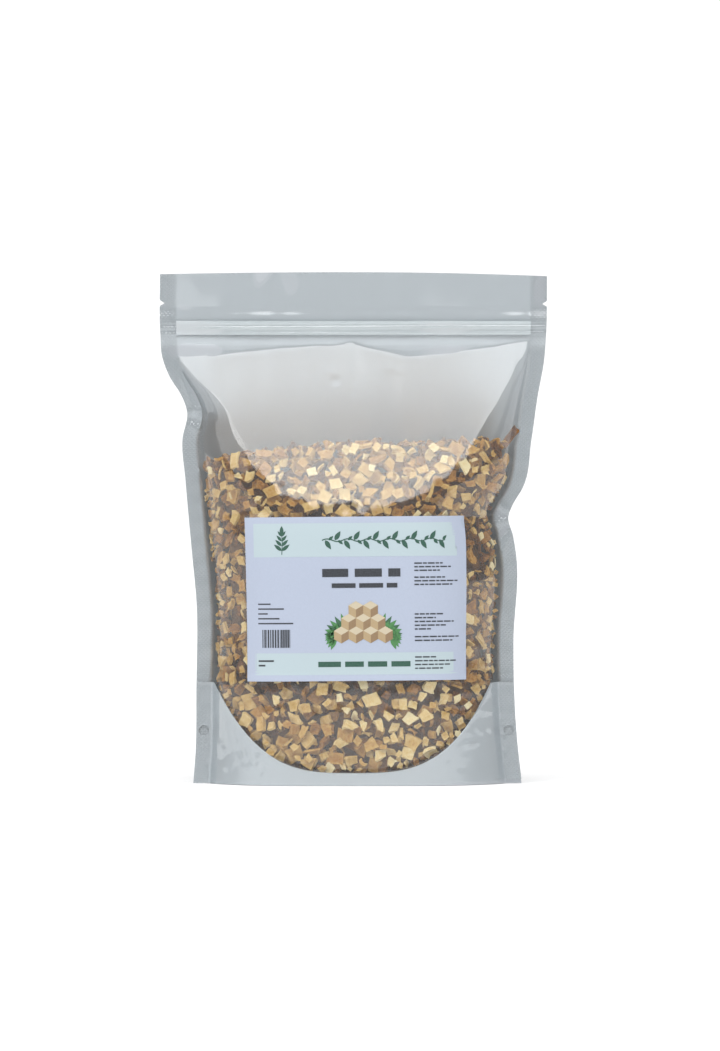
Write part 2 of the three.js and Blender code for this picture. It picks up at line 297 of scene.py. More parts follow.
@dataclass(frozen=True)
class PouchForm:
    """How the filled pouch stands: its outline, and how far each panel bulges. In millimetres."""

    seal: float = 10.0
    film: float = 0.15
    gusset_rise: float = 65.0
    fill: float = 217.0
    zip_height: float = 294.0
    notch_height: float = 310.5
    notch_depth: float = 3.2
    notch_half_height: float = 2.0
    fullness: float = 4.4
    squaring: float = 4.6
    squaring_from: float = 172.0
    back_share: float = 0.97
    facet_left: float = 0.72
    facet_right: float = 0.57
    arc_foot: float = 8.0
    arc_half_width: float = 90.0
    arc_power: float = 3.1
    flat_half_width: float = 38.0
    fold_power: float = 2.4
    floor_power: int = 6
    left_edge: Profile = Profile(
        (0, 20, 60, 118, 145, 195, 222, 240, 250, 262, 275, 290, 330),
        (103.5, 102, 101.5, 101.5, 104, 108.5, 110.5, 107.5, 111, 118.5, 123.5, 124.8, 125),
    )
    right_edge: Profile = Profile(
        (0, 20, 60, 92, 145, 160, 172, 180, 190, 222, 250, 272, 290, 330),
        (108.5, 106.3, 103.8, 103.4, 105.3, 103, 100, 103, 109, 115, 119, 123, 124.5, 125),
    )
    belly: Profile = Profile(
        (0, 30, 110, 145, 165, 180, 195, 217),
        (47, 48.2, 48, 47.6, 46.3, 43.4, 39, 31.5),
    )
    shoulder: tuple[tuple[float, ...], tuple[float, ...]] = (
        (-112, -96, -92, -38, -27, -10, -1, 8, 34, 54, 87, 110),
        (275.5, 277, 276, 282, 283, 283, 286, 282, 275, 276.7, 281.6, 286),
    )

    def reach(self, x: np.ndarray, z: np.ndarray) -> np.ndarray:
        """Distance of the pouch's edge from the middle, on the side that x is on."""
        return np.where(x < 0, self.left_edge(z), self.right_edge(z))

    def inner(self, x: np.ndarray, z: np.ndarray) -> np.ndarray:
        """Distance of the side seal's inner line from the middle."""
        return self.reach(x, z) - self.seal

    def section(self, share: np.ndarray, z: np.ndarray) -> np.ndarray:
        """Bulge of a panel across its width, 1 in the middle and 0 at the side seals."""
        squared = self.fullness + self.squaring * smoothstep(z, self.squaring_from, self.fill)
        return np.clip(1 - np.abs(share) ** squared, 0, 1)

    def shoulder_height(self, x: np.ndarray) -> np.ndarray:
        """Height of the crease where the leaning facet meets the flat strip under the zip."""
        blur = (-3.0, -1.0, 1.0, 3.0)
        return sum(np.interp(x + b, *self.shoulder) for b in blur) / len(blur)

    def bulge(self, x: np.ndarray, z: np.ndarray) -> np.ndarray:
        """Bulge of a panel past its sealed position.

        Below the fill line the root holds the film out. Above it the film runs straight up to the
        shoulder: a leaning facet in the middle, and a cone at each side whose tip is the end of
        the shoulder.

        Args:
            x: Places across.
            z: Heights.

        Returns:
            The bulge at each place.
        """
        x, z = np.broadcast_arrays(np.asarray(x, float), np.asarray(z, float))
        share = np.clip(np.abs(x) / self.inner(x, z), 0, 1)
        top = self.shoulder_height(x)
        rise = np.clip((z - self.fill) / (top - self.fill), 0, 0.9999)
        spread = self.inner(x, top) / self.inner(x, np.full_like(z, self.fill))
        start = np.where(x < 0, self.facet_left, self.facet_right)
        across = share * (1 - rise + rise * spread)
        edge = (1 - rise) * start + rise * spread
        facet = across / (1 - rise + rise * spread / start)
        cone = (across - rise * spread) / (1 - rise)
        leaning = (1 - rise) * self.belly.value[-1] * self.section(np.where(across <= edge, facet, cone), z)
        return np.where(z <= self.fill, self.belly(z) * self.section(share, z), leaning)

    def half_seal(self, z: np.ndarray) -> np.ndarray:
        """Half the thickness of what is sealed between the panels: gusset, zip or nothing.

        Args:
            z: Heights.

        Returns:
            The half thickness at each height.
        """
        gusset = 1 - smoothstep(z, self.gusset_rise + 1.5, self.gusset_rise + 8)
        zip_band = 1 - smoothstep(np.abs(z - self.zip_height), 4.6, 14)
        return 0.3 + 0.85 * gusset + 1.25 * zip_band

    def depth(self, x: np.ndarray, z: np.ndarray, side: Side = Side.FRONT) -> np.ndarray:
        """Distance of a panel's middle surface from the pouch's middle plane."""
        share = 1.0 if side is Side.FRONT else self.back_share
        return self.half_seal(z) + share * self.bulge(x, z)

    def arc(self, x: np.ndarray) -> np.ndarray:
        """Works out the height of the curved seal that joins the gusset to a panel.

        Args:
            x: Places across.

        Returns:
            The height at each place.
        """
        share = np.abs(x) / self.arc_half_width
        rise = (self.gusset_rise - self.arc_foot) * share**self.arc_power
        return np.minimum(self.gusset_rise, self.arc_foot + rise)

    def fold(self, x: np.ndarray) -> np.ndarray:
        """Height of the gusset's fold line, which lies on the ground in the middle."""
        share = (np.abs(x) - self.flat_half_width) / (self.arc_half_width - self.flat_half_width)
        return self.film / 2 + (self.gusset_rise - self.film / 2) * np.clip(share, 0, 1) ** self.fold_power

    def floor(self, x: np.ndarray, y: np.ndarray) -> np.ndarray:
        """Height of the gusset under a place inside the pouch.

        Args:
            x: Places across.
            y: Places from front to back.

        Returns:
            The height at each place.
        """
        top = self.arc(x)
        low = np.minimum(self.fold(x), top)
        return low + (top - low) * np.clip(np.abs(y) / self.depth(x, top), 0, 1) ** self.floor_power

    def across(self, u: np.ndarray, z: np.ndarray, seal_share: float) -> np.ndarray:
        """Spreads a share from -1 to 1 over the pouch's width, notches in its edges included.

        Args:
            u: The share.
            z: The height.
            seal_share: Part of the share that each side seal takes.

        Returns:
            The place across.
        """
        nick = np.clip(1 - np.abs(z - self.notch_height) / self.notch_half_height, 0, 1)
        inner = self.inner(u, z)
        outer = self.reach(u, z) - self.notch_depth * nick
        bend = 1 - seal_share
        share = np.abs(u)
        inside = share / bend * inner
        seal = inner + (share - bend) / seal_share * (outer - inner)
        return np.sign(u) * np.where(share <= bend, inside, seal)


@dataclass(frozen=True)
class Fold:
    """A soft ridge in a film along a straight line. A negative rise makes it a valley."""

    start: tuple[float, float]
    end: tuple[float, float]
    width: float
    rise: float

    def lift(self, x: np.ndarray, z: np.ndarray) -> np.ndarray:
        """Works out how far the fold lifts the film.

        Args:
            x: Places across.
            z: Heights.

        Returns:
            The lift at each place, in millimetres.
        """
        (x0, z0), (x1, z1) = self.start, self.end
        length = math.hypot(x1 - x0, z1 - z0)
        along = ((x - x0) * (x1 - x0) + (z - z0) * (z1 - z0)) / length**2
        aside = ((x - x0) * (z1 - z0) - (z - z0) * (x1 - x0)) / length
        taper = smoothstep(along, -0.1, 0.35) * (1 - smoothstep(along, 0.65, 1.1))
        return self.rise * np.exp(-((aside / self.width) ** 2)) * taper


def crumple(
    low: tuple[float, float], high: tuple[float, float], count: int, rise: float, seed: int
) -> list[Fold]:
    """Scatters short folds, mostly upright or level, over a patch of film.

    Args:
        low: The patch's lower left corner.
        high: Its upper right corner.
        count: How many folds.
        rise: Their usual height.
        seed: Picks them.

    Returns:
        The folds.
    """
    rng = np.random.default_rng(seed)
    folds = []
    for _ in range(count):
        x, z = rng.uniform(low, high)
        turn = rng.normal(0.0, 0.25) + (math.pi / 2 if rng.random() < 0.6 else 0.0)
        reach = rng.uniform(2.0, 5.5)
        across, up = math.cos(turn) * reach, math.sin(turn) * reach
        start, end = (x - across, z - up), (x + across, z + up)
        folds.append(Fold(start, end, rng.uniform(0.7, 1.5), rng.normal(0, rise)))
    return folds


FACET_FOLDS = [
    Fold((-31, 286), (-41, 248), 6.0, -0.45),
    Fold((-23, 286), (-28, 250), 6.0, 0.5),
    Fold((-43, 250), (-25, 255), 1.8, -0.5),
    Fold((-2, 288), (15, 262), 6.0, -0.4),
    Fold((-12, 284), (-8, 240), 5.0, 0.5),
    Fold((30, 276), (20, 236), 7.0, 0.5),
    Fold((-97, 273), (-92, 281), 1.3, 0.8),
]
LEFT_FOLDS = [
    Fold((-114, 270), (-100, 234), 1.5, 0.9),
    Fold((-110, 266), (-95, 236), 1.5, -0.9),
    Fold((-107, 262), (-90, 233), 1.8, 0.8),
    Fold((-104, 254), (-84, 228), 2.2, -0.7),
    Fold((-109, 239), (-94, 243), 1.3, 0.7),
    Fold((-109, 237), (-92, 231), 1.4, -0.8),
    Fold((-108, 234), (-96, 221), 1.6, 0.7),
]
RIGHT_FOLDS = [
    Fold((113, 284), (103, 215), 1.2, 0.7),
    Fold((110, 284), (97, 222), 1.6, -0.5),
    Fold((103, 172), (88, 186), 1.4, 0.8),
    Fold((103, 171), (86, 177), 1.3, -0.8),
    Fold((103, 170), (86, 167), 1.3, 0.7),
    Fold((103, 169), (89, 155), 1.4, -0.8),
    Fold((103, 167), (94, 143), 1.6, 0.7),
    Fold((97, 190), (99, 206), 1.4, 0.5),
]
ARC_FOLDS = [
    Fold((-83 + 2.6 * i, 46 - 3 * i), (-79 + 2.8 * i, 16 - i), 0.7, 0.28 * (-1) ** i) for i in range(6)
]


@dataclass
class Panel:
    """One of the pouch's two big films."""

    form: PouchForm
    side: Side
    columns: int
    row_spacing: float
    seal_share: float = 0.08
    zip_ridges: tuple[tuple[float, float], ...] = ((294.3, 0.42), (290.4, 0.32), (297.6, 0.16))
    top_drop: tuple[float, float] = (1.3, 2.6)
    right_foot_lift: float = 2.6

    def rows(self) -> np.ndarray:
        """Spaces out the rows of the film, close together around the zip and the notches.

        Returns:
            Their heights.
        """
        step = self.row_spacing
        body = np.arange(0, 283, step)
        band = np.arange(283, 316, step / 2.6)
        return np.concatenate([body, band, np.arange(316, 330, step), [330]])

    def folds(self) -> list[Fold]:
        """Lists the folds and wrinkles, as the filling and the sealing left them.

        Returns:
            This film's folds.
        """
        corners = crumple((-97, 6), (-55, 30), 34, 0.3, 3) + crumple((60, 6), (99, 52), 44, 0.34, 4)
        if self.side is Side.FRONT:
            return FACET_FOLDS + LEFT_FOLDS + RIGHT_FOLDS + ARC_FOLDS + corners
        return LEFT_FOLDS + RIGHT_FOLDS + crumple((-70, 225), (70, 276), 22, 0.6, 5) + corners

    def relief(self, x: np.ndarray, z: np.ndarray) -> np.ndarray:
        """Works out how far the film's own creases stand out from the pouch's form.

        Args:
            x: Places across.
            z: Heights.

        Returns:
            How far, in millimetres.
        """
        form = self.form
        lift = sum(fold.lift(x, z) for fold in self.folds())
        for height, rise in self.zip_ridges:
            lift = lift + rise * np.exp(-(((z - height - 0.35 * np.sin(x / 60)) / 0.75) ** 2))
        filled = smoothstep(z, 20, 50) * (1 - smoothstep(z, 205, 222))
        lift += filled * ripples(x, z, 11, 0.09, 11)
        lift += ripples(x, z, 75, 0.35, 12) * smoothstep(z, 215, 245)
        lift += ripples(x, z * 0.25, 16, 0.12, 14) * smoothstep(z, 215, 235)
        above_arc = (z - form.arc(x)) / np.hypot(1, 1.4 * np.abs(x) / form.arc_half_width)
        lift += 0.7 * np.exp(-(((above_arc - 0.3) / 0.7) ** 2)) * (np.abs(x) < 92)
        seal_line = np.abs(x) - form.inner(x, z)
        lift += 0.2 * np.exp(-((seal_line / 0.8) ** 2))
        gusset_top = (z - form.gusset_rise - 0.8) / 0.9
        lift += 0.3 * np.exp(-(gusset_top**2)) * (np.abs(x) > 88)
        fade = smoothstep(form.reach(x, z) - np.abs(x), 0, 3)
        return lift * (0.35 + 0.65 * fade)

    def build(self, name: str) -> bpy.types.Object:
        """Makes the film.

        Args:
            name: The piece's name.

        Returns:
            A closed thin shell.
        """
        heights = self.rows()
        obj = add_grid(name, self.columns, len(heights) - 1)
        flat = coordinates(obj.data)
        row = (flat[:, 1] + 1) / 2 * (len(heights) - 1)
        z = np.interp(row, np.arange(len(heights)), heights)
        x = self.form.across(flat[:, 0], z, self.seal_share)
        y = self.side.value * (self.form.depth(x, z, self.side) + self.relief(x, z))
        corner = np.where(x < 0, self.top_drop[0], self.top_drop[1]) * (np.abs(x) / 125) ** 2
        lift = self.right_foot_lift * smoothstep(x, 20, 108) * (1 - smoothstep(z, 0, 60))
        height = z - corner * smoothstep(z, 296, 330) + lift
        place(obj.data, np.stack([x, y, height], 1))
        seal = smoothstep(np.abs(x) - self.form.inner(x, z), -0.3, 0.6)
        attribute(obj.data, "seal", "FLOAT", seal)
        thicken(obj, self.form.film)
        smooth(obj, 60)
        return obj


@dataclass
class Gusset:
    """The silver film that is folded up between the panels and opens out as the pouch's base."""

    form: PouchForm
    columns: int = 170
    leg_rows: int = 56
    floor_rows: int = 44
    leg_gap: float = 0.42
    least_depth: float = 0.62
    arc_read_at: float = 30.0
    seal_share: float = 0.09
    tack_radius: float = 3.4
    tack_height: float = 34.0

    def leg(self, x: np.ndarray, z: np.ndarray, side: Side) -> np.ndarray:
        """Places a leg of the gusset just inside its panel.

        Args:
            x: Places across.
            z: Heights.
            side: Which panel it is sealed to.

        Returns:
            Its distance from the middle plane.
        """
        share = 1.0 if side is Side.FRONT else self.form.back_share
        slope = (self.form.bulge(x + 0.5, z) - self.form.bulge(x - 0.5, z)) * share
        gap = self.leg_gap * np.hypot(1, slope)
        return np.maximum(self.form.depth(x, z, side) - gap, self.least_depth)

    def build(self, name: str, pressed: Panel) -> bpy.types.Object:
        """Makes the gusset.

        Args:
            name: The piece's name.
            pressed: The panel in front, whose creases are pressed into the gusset too.

        Returns:
            A closed thin shell with its two tack holes.
        """
        form, rows = self.form, 2 * self.leg_rows + self.floor_rows
        obj = add_grid(name, self.columns, rows)
        flat = coordinates(obj.data)
        u, row = flat[:, 0], (flat[:, 1] + 1) / 2 * rows
        sealed = np.abs(u) > 1 - self.seal_share
        arc = form.arc(form.across(u, np.full_like(u, self.arc_read_at), self.seal_share))
        top = np.where(sealed, form.gusset_rise, arc)
        leg_share = np.minimum(row, rows - row) / self.leg_rows
        on_leg = leg_share < 1
        z = np.where(on_leg, top * leg_share, top)
        x = form.across(u, z, self.seal_share)
        front, back = self.leg(x, z, Side.FRONT), self.leg(x, z, Side.BACK)
        spread = np.clip((row - self.leg_rows) / self.floor_rows, 0, 1)
        fold = np.where(sealed, form.gusset_rise, np.minimum(form.fold(x), top))
        floor_z = fold + (top - fold) * np.abs(2 * spread - 1) ** form.floor_power
        floor_y = -front + (front + back) * spread
        leg_y = np.where(row < rows / 2, -front - pressed.relief(x, z), back)
        slack = ripples(x, row * 1.5, 14, 0.25, 21) * np.sin(spread * math.pi) * (np.abs(x) > 40)
        y = np.where(on_leg, leg_y, floor_y)
        height = np.where(on_leg, z, floor_z + slack)
        place(obj.data, np.stack([x, y, height], 1))
        seal = smoothstep(np.abs(x) - form.inner(x, z), -0.3, 0.6)
        attribute(obj.data, "seal", "FLOAT", seal)
        thicken(obj, form.film)
        self.punch(obj)
        smooth(obj, 60)
        return obj

    def punch(self, obj: bpy.types.Object) -> None:
        """Cuts the two holes through which the panels are tacked to each other.

        Args:
            obj: The gusset.
        """
        for sign in (-1.0, 1.0):
            edge = float(self.form.reach(np.array(sign), np.array(self.tack_height)))
            bpy.ops.object.select_all(action="DESELECT")
            bpy.ops.mesh.primitive_cylinder_add(
                vertices=32,
                radius=self.tack_radius * MM,
                depth=0.01,
                location=(sign * (edge - self.form.seal / 2) * MM, 0, self.tack_height * MM),
                rotation=(math.pi / 2, 0, 0),
            )
            tool = name_new("tack_tool")
            cut = obj.modifiers.new("tack", "BOOLEAN")
            cut.operation = "DIFFERENCE"
            cut.object = tool
            bpy.context.view_layer.objects.active = obj
            bpy.ops.object.modifier_apply(modifier=cut.name)
            bpy.data.objects.remove(tool)


# ---------------------------------------------------------------- dried root


@dataclass
class Cube:
    """One dried cube: where it lies, how it is turned, half its size along its axes, its tone, with painted
    shade when it lies deep in the heap.
    """

    centre: np.ndarray
    axes: np.ndarray
    half: np.ndarray
    tone: float


@dataclass
class Chips:
    """Moulds of dried cubes: plates and blocks whose faces sank in and whose rims curled up."""

    count: int = 24
    cuts: int = 2
    seed: int = 31
    shapes: list[np.ndarray] = field(default_factory=list)
    rims: list[np.ndarray] = field(default_factory=list)
    faces: np.ndarray | None = None

    def model(self) -> None:
        """Shapes every mould from a cut-up cube, and keeps its vertices and faces."""
        bpy.ops.object.select_all(action="DESELECT")
        bpy.ops.mesh.primitive_cube_add(size=2)
        blank = name_new("cube_blank")
        bpy.ops.object.mode_set(mode="EDIT")
        bpy.ops.mesh.select_all(action="SELECT")
        bpy.ops.mesh.subdivide(number_cuts=self.cuts)
        bpy.ops.object.mode_set(mode="OBJECT")
        corners = coordinates(blank.data)
        self.faces = np.array([list(p.vertices) for p in blank.data.polygons])
        bpy.data.objects.remove(blank)
        rng = np.random.default_rng(self.seed)
        for _ in range(self.count):
            self.shapes.append(self.shrivel(corners, rng))
            # Nearness of each vertex to the edges, for the painted edge highlight.
            self.rims.append(np.sort(np.abs(corners), 1)[:, 1])

    @staticmethod
    def shrivel(corners: np.ndarray, rng: np.random.Generator) -> np.ndarray:
        """Dries one cube.

        Args:
            corners: The blank's vertices, from -1 to 1.
            rng: Where the chances come from.

        Returns:
            The dried cube's vertices, within about -1 to 1.
        """
        shape = corners.copy()
        sink = rng.uniform((0.0, 0.0, 0.35), (0.16, 0.16, 0.9))
        for axis in range(3):
            a, b = (corners[:, other] for other in range(3) if other != axis)
            hollow = (1 - 0.9 * a * a) * (1 - 0.9 * b * b)
            shape[:, axis] *= 1 - sink[axis] * hollow
        # Each upright edge shrank its own way: it pulls the sides along, and its ends curl up or down.
        for edge in np.array([[i, j] for i in (-1, 1) for j in (-1, 1)]):
            weight = ((1 + edge * corners[:, :2]) / 2).prod(1)
            shape[:, :2] += weight[:, None] * rng.normal(0, 0.15, 2)
            shape[:, 2] += weight**2 * rng.normal(0, 0.75)
        curl, roll = rng.normal(0, 0.7, 2)
        twist, skew = rng.normal(0, 0.3), rng.normal(0, 0.15)
        x, y = shape[:, 0].copy(), shape[:, 1].copy()
        shape[:, 2] += curl * (x * x - 0.4) + roll * (y * y - 0.4)
        shape[:, 0] += skew * y + 0.5 * twist * y * shape[:, 2]
        shape[:, 1] -= 0.5 * twist * x * shape[:, 2]
        shape += rng.normal(0, 0.045, shape.shape)
        return shape / np.abs(shape).max(0)


@dataclass
class Heap:
    """The diced root inside the pouch, laid cube by cube so that none lies far into another."""

    form: PouchForm
    chips: Chips
    seed: int = 8
    front_tries: int = 12000
    edge_tries: int = 7000
    top_tries: int = 3000
    deepest: float = 20.0
    clearance: float = 0.3
    bed_top: float = 201.0
    step: float = 0.9
    closeness: float = 0.7
    tone: float = 0.66
    tone_spread: float = 0.15
    # Painted shade: how far the tone of the deepest cubes is darkened.
    painted_deep_shade: float = 0.4
    cell: float = 0.5
    crown: Profile = Profile((-98, -60, -10, 60, 100), (211, 216, 221, 222, 224))
    cubes: list[Cube] = field(default_factory=list)

    def __post_init__(self) -> None:
        """Sets up the stores that the search for a free place reads."""
        across = np.arange(-125, 125.1, self.cell)
        self.room = self.form.bulge(*np.meshgrid(across, np.arange(0, 330.1, self.cell)))
        self.arc = self.form.arc(across)
        self.fold = np.minimum(self.form.fold(across), self.arc)
        self.arc_depth = self.form.depth(across, self.arc)
        self.rng = np.random.default_rng(self.seed)
        self.centres = np.zeros((0, 3))
        self.axes = np.zeros((0, 3, 3))
        self.halves = np.zeros((0, 3))

    def keep(self, centre: np.ndarray, axes: np.ndarray, half: np.ndarray, shown: bool = True) -> None:
        """Takes a cube's place.

        Args:
            centre: The cube's centre.
            axes: Its own axes, one a row.
            half: Half its size along them.
            shown: Whether it is one of the cubes to be made.
        """
        self.centres = np.vstack([self.centres, centre])
        self.axes = np.concatenate([self.axes, axes[None]])
        self.halves = np.vstack([self.halves, half * self.closeness])
        if shown:
            i, j = round(centre[2] / self.cell), round((centre[0] + 125) / self.cell)
            # Painted shade: a cube lying 3 to 13 mm behind the front film gets a darker tone, the deeper the
            # darker.
            deep = smoothstep(self.room[i, j] + centre[1], 3, 13)
            tone = self.rng.normal(self.tone, self.tone_spread) - self.painted_deep_shade * deep
            self.cubes.append(Cube(centre, axes, half, float(tone)))

    def free(self, centres: np.ndarray, axes: np.ndarray, half: np.ndarray) -> np.ndarray:
        """Finds where a cube crosses no other, tested along the cubes' own axes.

        Args:
            centres: Places that the cube could take, along a straight line, one a row.
            axes: The cube's own axes, one a row.
            half: Half its size along them.

        Returns:
            True for each place where it is free.
        """
        run = centres[-1] - centres[0]
        along = np.clip((self.centres - centres[0]) @ run / max(run @ run, 1e-9), 0, 1)
        away = np.linalg.norm(self.centres - centres[0] - along[:, None] * run, axis=1)
        near = away < np.linalg.norm(half) + np.linalg.norm(self.halves, axis=1)
        if not near.any():
            return np.ones(len(centres), bool)
        others, sizes, spots = self.axes[near], self.halves[near], self.centres[near]
        own_half = half * self.closeness
        turned = np.abs(others @ axes.T)
        offsets = centres[:, None, :] - spots[None]
        on_own = np.abs(offsets @ axes.T) > own_half + np.einsum("mij,mi->mj", turned, sizes)[None]
        on_other = np.abs(np.einsum("kmj,mij->kmi", offsets, others)) > sizes + turned @ own_half
        return (on_own.any(2) | on_other.any(2)).all(1)

    def inside(self, centres: np.ndarray, axes: np.ndarray, half: np.ndarray) -> np.ndarray:
        """Finds where a cube lies wholly between the films and above the gusset.

        Args:
            centres: Places that the cube could take, one a row.
            axes: The cube's own axes, one a row.
            half: Half its size along them.

        Returns:
            True for each place where it fits.
        """
        signs = np.array([[i, j, k] for i in (-1, 1) for j in (-1, 1) for k in (-1, 1)])
        corners = centres[:, None, :] + ((signs * half) @ axes)[None]
        x, y, z = corners[..., 0], corners[..., 1], corners[..., 2]
        column = np.rint((x + 125) / self.cell).astype(int)
        room = self.room[np.rint(z.clip(0) / self.cell).astype(int), column] - self.clearance
        lean = np.clip(np.abs(y) / self.arc_depth[column], 0, 1) ** self.form.floor_power
        floor = self.fold[column] + (self.arc[column] - self.fold[column]) * lean + self.clearance
        return ((y > -room) & (y < room * self.form.back_share) & (z > floor)).all(1)

    def draw(self, flat_to: np.ndarray | None) -> tuple[np.ndarray, np.ndarray]:
        """Draws a cube's size and how it is turned.

        Args:
            flat_to: The direction that its flat side tends to face, or None for any.

        Returns:
            Its axes, one a row, and half its size along them, in millimetres.
        """
        rng = self.rng
        half = np.array([rng.uniform(4.2, 6.2), rng.uniform(3.6, 5.6), rng.uniform(1.5, 3.2)])
        half *= rng.uniform(0.55, 0.8) if rng.random() < 0.25 else 1.0
        if flat_to is None:
            q = rng.normal(size=(3, 3))
            axes = np.linalg.qr(q)[0].T
            return axes * np.sign(np.linalg.det(axes)), half
        normal = flat_to + rng.normal(0, 0.38, 3)
        normal /= np.linalg.norm(normal)
        side = np.cross(normal, rng.normal(size=3))
        side /= np.linalg.norm(side)
        return np.stack([side, np.cross(normal, side), normal]), half

    def seed_nodes(self) -> None:
        """Keeps the places of the loose cubes that the frame already holds."""
        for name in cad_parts:
            if name.startswith("root_cube"):
                low, high = (np.array(corner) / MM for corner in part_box(name))
                self.keep((low + high) / 2, np.eye(3), (high - low) / 2 * 0.85, shown=False)

    def stuck(self) -> None:
        """Lays the one long cube that caught high between the films beside the right seal."""
        turn = math.radians(52)
        along = np.array([math.cos(turn), 0, math.sin(turn)])
        across = np.array([-math.sin(turn), 0, math.cos(turn)])
        axes = np.stack([along, across, [0.0, -1.0, 0.0]])
        self.keep(np.array([101.0, -0.5, 223.0]), axes, np.array([8.5, 3.0, 1.3]))

    def against_front(self, behind_label: Callable[[float, float], bool]) -> None:
        """Lays cubes against the clear film, each as far forward as it will go.

        Args:
            behind_label: Whether a place across and a height are hidden by the label.
        """
        form = self.form
        rows = np.arange(6, 220, 1.0)
        shares = np.linspace(-1, 1, 81)
        xs = shares * (form.inner(shares, rows[:, None]) - 1)
        ys = form.bulge(xs, np.broadcast_to(rows[:, None], xs.shape))
        run = np.cumsum(np.hypot(np.diff(xs), np.diff(ys)), 1)
        length = np.concatenate([np.zeros((len(rows), 1)), run], 1)
        for _ in range(self.front_tries // (1)):
            row = int(self.rng.integers(len(rows)))
            z = rows[row] + self.rng.uniform(-0.5, 0.5)
            x = float(np.interp(self.rng.uniform(0, length[row, -1]), length[row], xs[row]))
            if z < form.arc(x) + 2 or z > self.crown(x) - 3 or behind_label(x, z):
                continue
            i, j = round(z / self.cell), round((x + 125) / self.cell)
            room = self.room
            inward = np.array([room[i, j + 1] - room[i, j - 1], 1, room[i + 1, j] - room[i - 1, j]])
            inward /= np.linalg.norm(inward)
            axes, half = self.draw(inward if self.rng.random() < 0.62 else None)
            steps = np.arange(1.3, self.deepest, self.step)
            centres = np.array([x, -self.room[i, j], z]) + steps[:, None] * inward
            fits = self.inside(centres, axes, half)
            if not fits.any():
                continue
            fits[fits] = self.free(centres[fits], axes, half)
            if fits.any():
                self.keep(centres[int(np.argmax(fits))], axes, half)

    def along_seals(self) -> None:
        """Works small flat cubes into the narrow room beside the side seals and over the arc."""
        form = self.form
        depths = np.arange(-1, 1.01, 0.2)
        for _ in range(self.edge_tries // (1)):
            axes, half = self.draw(np.array([0.0, 1.0, 0.0]))
            half = half * (self.rng.uniform(0.5, 0.9), self.rng.uniform(0.5, 0.9), 0.7)
            side = self.rng.choice([-1.0, 1.0])
            if self.rng.random() < 0.6:
                z = self.rng.uniform(55, 208)
                x = side * (float(form.inner(side, z)) - self.rng.uniform(1.5, 9))
            else:
                x = side * self.rng.uniform(0, 88)
                z = float(form.arc(x)) + self.rng.uniform(2, 9)
            room = self.room[round(z / self.cell), round((x + 125) / self.cell)]
            centres = np.full((len(depths), 3), (x, 0.0, z))
            centres[:, 1] = -0.9 * room * depths[::-1]
            fits = self.inside(centres, axes, half)
            if fits.any():
                fits[fits] = self.free(centres[fits], axes, half)
            if fits.any():
                self.keep(centres[int(np.argmax(fits))], axes, half)

    def on_top(self) -> None:
        """Drops cubes on the heap from above, each until it rests on another."""
        for _ in range(self.top_tries // (1)):
            x = self.rng.uniform(-96, 100)
            room = self.room[round(208 / self.cell), round((x + 125) / self.cell)]
            y = self.rng.uniform(-room, room)
            axes, half = self.draw(np.array([0.0, 0, 1]) if self.rng.random() < 0.5 else None)
            heights = np.arange(float(self.crown(x)) + 14, self.bed_top + 1.5, -self.step)
            centres = np.stack([np.full_like(heights, x), np.full_like(heights, y), heights], 1)
            clear = self.free(centres, axes, half)
            if not clear[0]:
                continue
            last = len(clear) - 1 if clear.all() else int(np.argmin(clear)) - 1
            if heights[last] > self.crown(x) - 2.5:
                continue
            if self.inside(centres[last : last + 1], axes, half)[0]:
                self.keep(centres[last], axes, half)

    def mesh(self, name: str, cubes: Sequence[Cube]) -> bpy.types.Object:
        """Makes one piece of many cubes.

        Args:
            name: The piece's name.
            cubes: The cubes in it.

        Returns:
            The piece, with each cube's own tone (painted shade of the deep cubes included), its nearness to
            the edges for the painted edge highlight, and its grain in its attributes.
        """
        points, faces, tones, grains, rims = [], [], [], [], []
        for cube in cubes:
            kind = int(self.rng.integers(self.chips.count))
            local = self.chips.shapes[kind] * cube.half
            faces.append(self.chips.faces + len(points) * len(local))
            points.append(local @ cube.axes + cube.centre)
            tones.append(np.full(len(local), np.clip(cube.tone, 0, 1)))
            grains.append(local + self.rng.uniform(-50, 50, 3))
            rims.append(self.chips.rims[kind])
        mesh = bpy.data.meshes.new(name)
        quads = np.concatenate(faces)
        mesh.from_pydata(np.concatenate(points) * MM, [], quads.tolist())
        obj = bpy.data.objects.new(name, mesh)
        bpy.context.scene.collection.objects.link(obj)
        attribute(mesh, "tone", "FLOAT", np.concatenate(tones))
        # Nearness of each vertex to its cube's edges, read for the painted edge highlight.
        attribute(mesh, "rim_highlight", "FLOAT", np.concatenate(rims))
        attribute(mesh, "grain", "FLOAT_VECTOR", np.concatenate(grains))
        smooth(obj, 38)
        return obj


